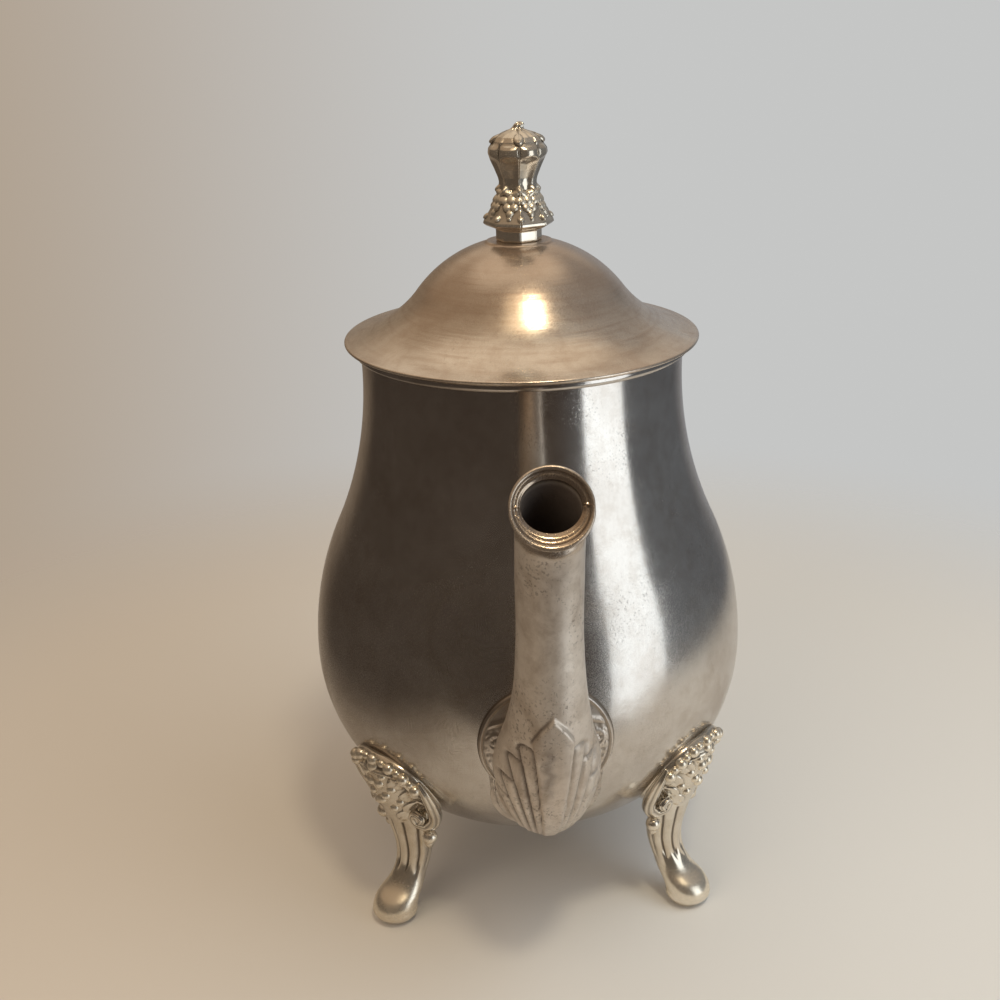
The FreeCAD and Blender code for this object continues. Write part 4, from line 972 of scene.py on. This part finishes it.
# Middle line of the handle in the (reach, height) plane, with the outward direction at each point.
def handleLine():
    lean, turnIn = handle["lean"], handle["turnIn"]
    c, s = math.cos(math.radians(lean)), math.sin(math.radians(lean))
    overCentre = (handle["lead"][1], handle["top"] - handle["upper"])
    backCentre = (handle["side"] - handle["back"] * c, (handle["upperSide"] + handle["lowerSide"]) / 2)
    inCentre = (handle["side"] - handle["lower"] * c, handle["lowerSide"] + handle["lower"] * s)
    steps = handle["leadSteps"]
    lead = np.stack([np.linspace(*handle["lead"], steps), np.full(steps, handle["top"])], axis=-1)
    spans = [(overCentre, handle["upper"], 90, lean, handle["upperSteps"]),
             (backCentre, handle["back"], lean, -lean, handle["backSteps"]),
             (inCentre, handle["lower"], -lean, -turnIn, handle["lowerSteps"])]
    lines = np.concatenate([lead] + [arc(*span)[1:] for span in spans])
    angles = [np.linspace(first, last, count)[1:] for _, _, first, last, count in spans]
    return lines, np.radians(np.concatenate([np.full(steps, 90.0)] + angles))


# The oval has a rib along each side with a groove beside it.
def handlePatch():
    line, out = handleLine()
    angle = roundAngles(handle["columns"])
    sideways = np.abs(np.sin(angle))
    rib = handle["rib"] * np.exp(-(sideways - 1) ** 2 / handle["ribSpread"])
    groove = -handle["groove"] * np.exp(-(sideways - handle["grooveAt"]) ** 2 / handle["grooveSpread"])
    depth = (handle["halfDepth"] + rib + groove) * np.cos(angle)
    width = (handle["halfWidth"] + groove) * np.sin(angle)
    x = line[:, :1] + depth * np.cos(out)[:, None]
    z = line[:, 1:] + depth * np.sin(out)[:, None]
    return patch(*capped(xyz(-x, 0 * x - width, z)[::-1]))


makePiece("handleLoop", [handlePatch()], handleSilver, "pot", ["handle"])

# Better finishes on the solids that already have the right shape.
finishes = {
    "base_disc": bodySilver, "lid_bezel": lidSilver, "finial_stud": fixingBrass, "finial_washer": fixingBrass,
    "finial_nut": fixingBrass, "insulator_pins": fixingBrass, "hinge_pin": hingeSilver,
    "hinge_leaf_pot": hingeSilver, "hinge_leaf_lid": hingeSilver, "insulator_upper": insulatorBlack,
    "insulator_lower": insulatorBlack, "handle_socket_upper": handleSilver,
    "handle_socket_lower": handleSilver,
}
for label, finish in finishes.items():
    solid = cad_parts[label]
    solid.data.materials.clear()
    solid.data.materials.append(finish)
print("solids finished")

# Stage: a pale floor that fades into the backdrop, a pale studio with a dark front, a window and a lamp.
# Fades on the floor are in metres, those of the studio in parts of a direction.
stage = dict(
    # the floor's colours paint shade and warm light on its left and cool light on its right
    floorLeft=(0.61, 0.55, 0.485), floorRight=(0.735, 0.745, 0.75), floorBlend=(-0.22, 0.14),
    floorRadius=900.0, floorGrid=(24, 96), floorDrop=0.02, floorRough=0.9, floorSheen=0.1,
    backFade=(0.22, 0.44), frontFade=(0.12, 0.24), mirrorLeft=(-0.26, 0.04), mirrorRight=(0.24, 0.44),
    # the backdrop's colours paint shade on its left and light on its right
    backdropLeft=(0.42, 0.335, 0.25), backdropRight=(0.56, 0.565, 0.56), backdropBlend=(-0.42, 0.12),
    backLeft=(0.21, 0.16, 0.115), backRight=(0.30, 0.30, 0.31), backBlend=(-0.30, 0.30),
    backHigh=(0.72, 0.60, 0.47), backRise=(0.25, 0.60),
    frontLeft=(0.055, 0.042, 0.033), frontRight=(0.12, 0.13, 0.145), frontBlend=(0.25, 0.85),
    frontFrom=(-0.92, -0.62), overhead=(0.60, 1.0), overheadPull=0.75,
    ceilingLeft=(0.30, 0.215, 0.145), ceilingRight=(0.22, 0.20, 0.19), ceilingBlend=(-0.35, 0.35),
    ceilingRise=(0.34, 0.66), ceilingTilt=0.3,
    cameraPlace=(391.0, -27.5, 282.9), cameraForward=(-0.9277, 0.0463, -0.3706), cameraRoll=-1.64,
    lens=46.8, sensor=36, nearest=0.01,
)
lights = [  # name, place, target, size, watts, colour, whether the metal shows it, shape
    ("window", (0.60, 0.78, 0.10), (0.0, 0.0, 0.10), (0.55, 1.05), 2.85, (0.90, 0.96, 1.0), True),
    ("lamp", (0.627, 0.217, 1.601), (0.03, 0.0, 0.19), (0.242, 0.242), 5.6, (1.0, 0.86, 0.62), True, "DISK"),
    ("glow", (0.645, 0.043, 1.656), (0.03, 0.0, 0.15), (0.88, 0.88), 1.45, (1.0, 0.78, 0.50), True, "DISK"),
    ("warmFill", (-0.05, -0.75, 1.0), (0.0, 0.0, 0.0), (0.9, 0.9), 1.2, (1.0, 0.82, 0.62), False),
    ("coolFill", (0.15, 0.65, 1.1), (0.0, 0.0, 0.0), (0.9, 0.9), 5.0, (0.86, 0.95, 1.0), False),
    ("frontFill", (0.70, -0.60, 0.45), (0.05, 0.0, 0.12), (0.7, 0.7), 3.7, (1.0, 0.84, 0.66), False),
]


# A flat disc of cloth with painted light on it: darker and warm on the left, paler and cool on the right.
def buildFloor():
    rings, columns = stage["floorGrid"]
    far = np.linspace(0, stage["floorRadius"], rings)[:, None]
    around = roundAngles(columns)
    grid = xyz(far * np.cos(around), far * np.sin(around), -stage["floorDrop"])
    floor = addObject("floor", makeMesh("floor", [patch(grid[::-1])]))
    material, tree, shader, place = newMaterial("paleCloth")
    spot = shaderNode(tree, "SeparateXYZ", {0: place}).outputs
    litShare = ranged(tree, spot["Y"], *stage["floorBlend"])
    cloth = mixed(tree, litShare, stage["floorLeft"], stage["floorRight"])
    feed(tree, shader, {"Base Color": cloth, "Roughness": stage["floorRough"],
                        "Specular IOR Level": stage["floorSheen"]})
    # the cloth fades away behind and in front, and the metal mirrors only the lit part of it
    gone = shaderNode(tree, "VectorMath", {0: place}, operation="LENGTH").outputs["Value"]
    fade = maths(tree, "MAXIMUM", ranged(tree, gone, *stage["backFade"]),
                 ranged(tree, spot["X"], *stage["frontFade"]))
    unlit = maths(tree, "MAXIMUM", ranged(tree, spot["Y"], *stage["mirrorLeft"], 1.0, 0.0),
                  ranged(tree, spot["Y"], *stage["mirrorRight"]))
    mirrored = shaderNode(tree, "LightPath").outputs["Is Glossy Ray"]
    fade = maths(tree, "MAXIMUM", fade, maths(tree, "MULTIPLY", mirrored, unlit))
    clear = shaderNode(tree, "BsdfTransparent")
    fading = shaderNode(tree, "MixShader", {0: fade, 1: shader.outputs[0], 2: clear.outputs[0]})
    feed(tree, tree.nodes["Material Output"], {"Surface": fading.outputs[0]})
    floor.data.materials.append(material)


# The studio by direction: a back that is paler high up, a dark front, a ceiling. The camera sees a backdrop
# with painted shade on its left and painted light on its right.
def buildWorld():
    world = bpy.data.worlds.new("studio")
    bpy.context.scene.world = world
    world.use_nodes = True
    tree = world.node_tree
    way = shaderNode(tree, "SeparateXYZ", {0: shaderNode(tree, "TexCoord").outputs["Generated"]}).outputs

    def sides(name):
        share = ranged(tree, way["Y"], *stage[name + "Blend"])
        return mixed(tree, share, stage[name + "Left"], stage[name + "Right"])

    pull = maths(tree, "MULTIPLY", ranged(tree, way["Z"], *stage["overhead"]), stage["overheadPull"])
    front = ranged(tree, maths(tree, "SUBTRACT", way["X"], pull), *stage["frontFrom"])
    raised = maths(tree, "SUBTRACT", way["Z"], maths(tree, "MULTIPLY", way["X"], stage["ceilingTilt"]))
    back = mixed(tree, ranged(tree, way["Z"], *stage["backRise"]), sides("back"), stage["backHigh"])
    room = mixed(tree, ranged(tree, raised, *stage["ceilingRise"]), sides("front"), sides("ceiling"))
    room = mixed(tree, front, back, room)
    seen = shaderNode(tree, "LightPath").outputs["Is Camera Ray"]
    feed(tree, tree.nodes["Background"], {"Color": mixed(tree, seen, room, sides("backdrop"))})


# A soft panel at a place, facing a target.
def panel(name, place, target, size, watts, colour, shown, shape="RECTANGLE"):
    light = bpy.data.lights.new(name, "AREA")
    light.shape = shape
    light.size, light.size_y = size
    light.energy = watts
    light.color = colour
    lamp = addObject(name, light)
    lamp.location = Vector(place)
    lamp.rotation_euler = (Vector(target) - Vector(place)).to_track_quat("-Z", "Y").to_euler()
    lamp.visible_glossy = shown


# The camera looks forward from its place, rolled about its line of sight.
def buildCamera():
    forward = Vector(stage["cameraForward"]).normalized()
    right = forward.cross(Vector((0, 0, 1))).normalized()
    above = right.cross(forward)
    roll = math.radians(stage["cameraRoll"])
    across = math.cos(roll) * right + math.sin(roll) * above
    up = -math.sin(roll) * right + math.cos(roll) * above
    lens = bpy.data.cameras.new("camera")
    lens.lens = stage["lens"]
    lens.sensor_width = stage["sensor"]
    lens.clip_start = stage["nearest"]
    camera = addObject("camera", lens)
    place = Matrix((across, up, -forward)).transposed().to_4x4()
    place.translation = Vector(stage["cameraPlace"]) * mm
    camera.matrix_world = place
    bpy.context.scene.camera = camera


buildFloor()
buildWorld()
for light in lights:
    panel(*light)
buildCamera()
bpy.context.scene.view_settings.view_transform = "Standard"
print("stage set")
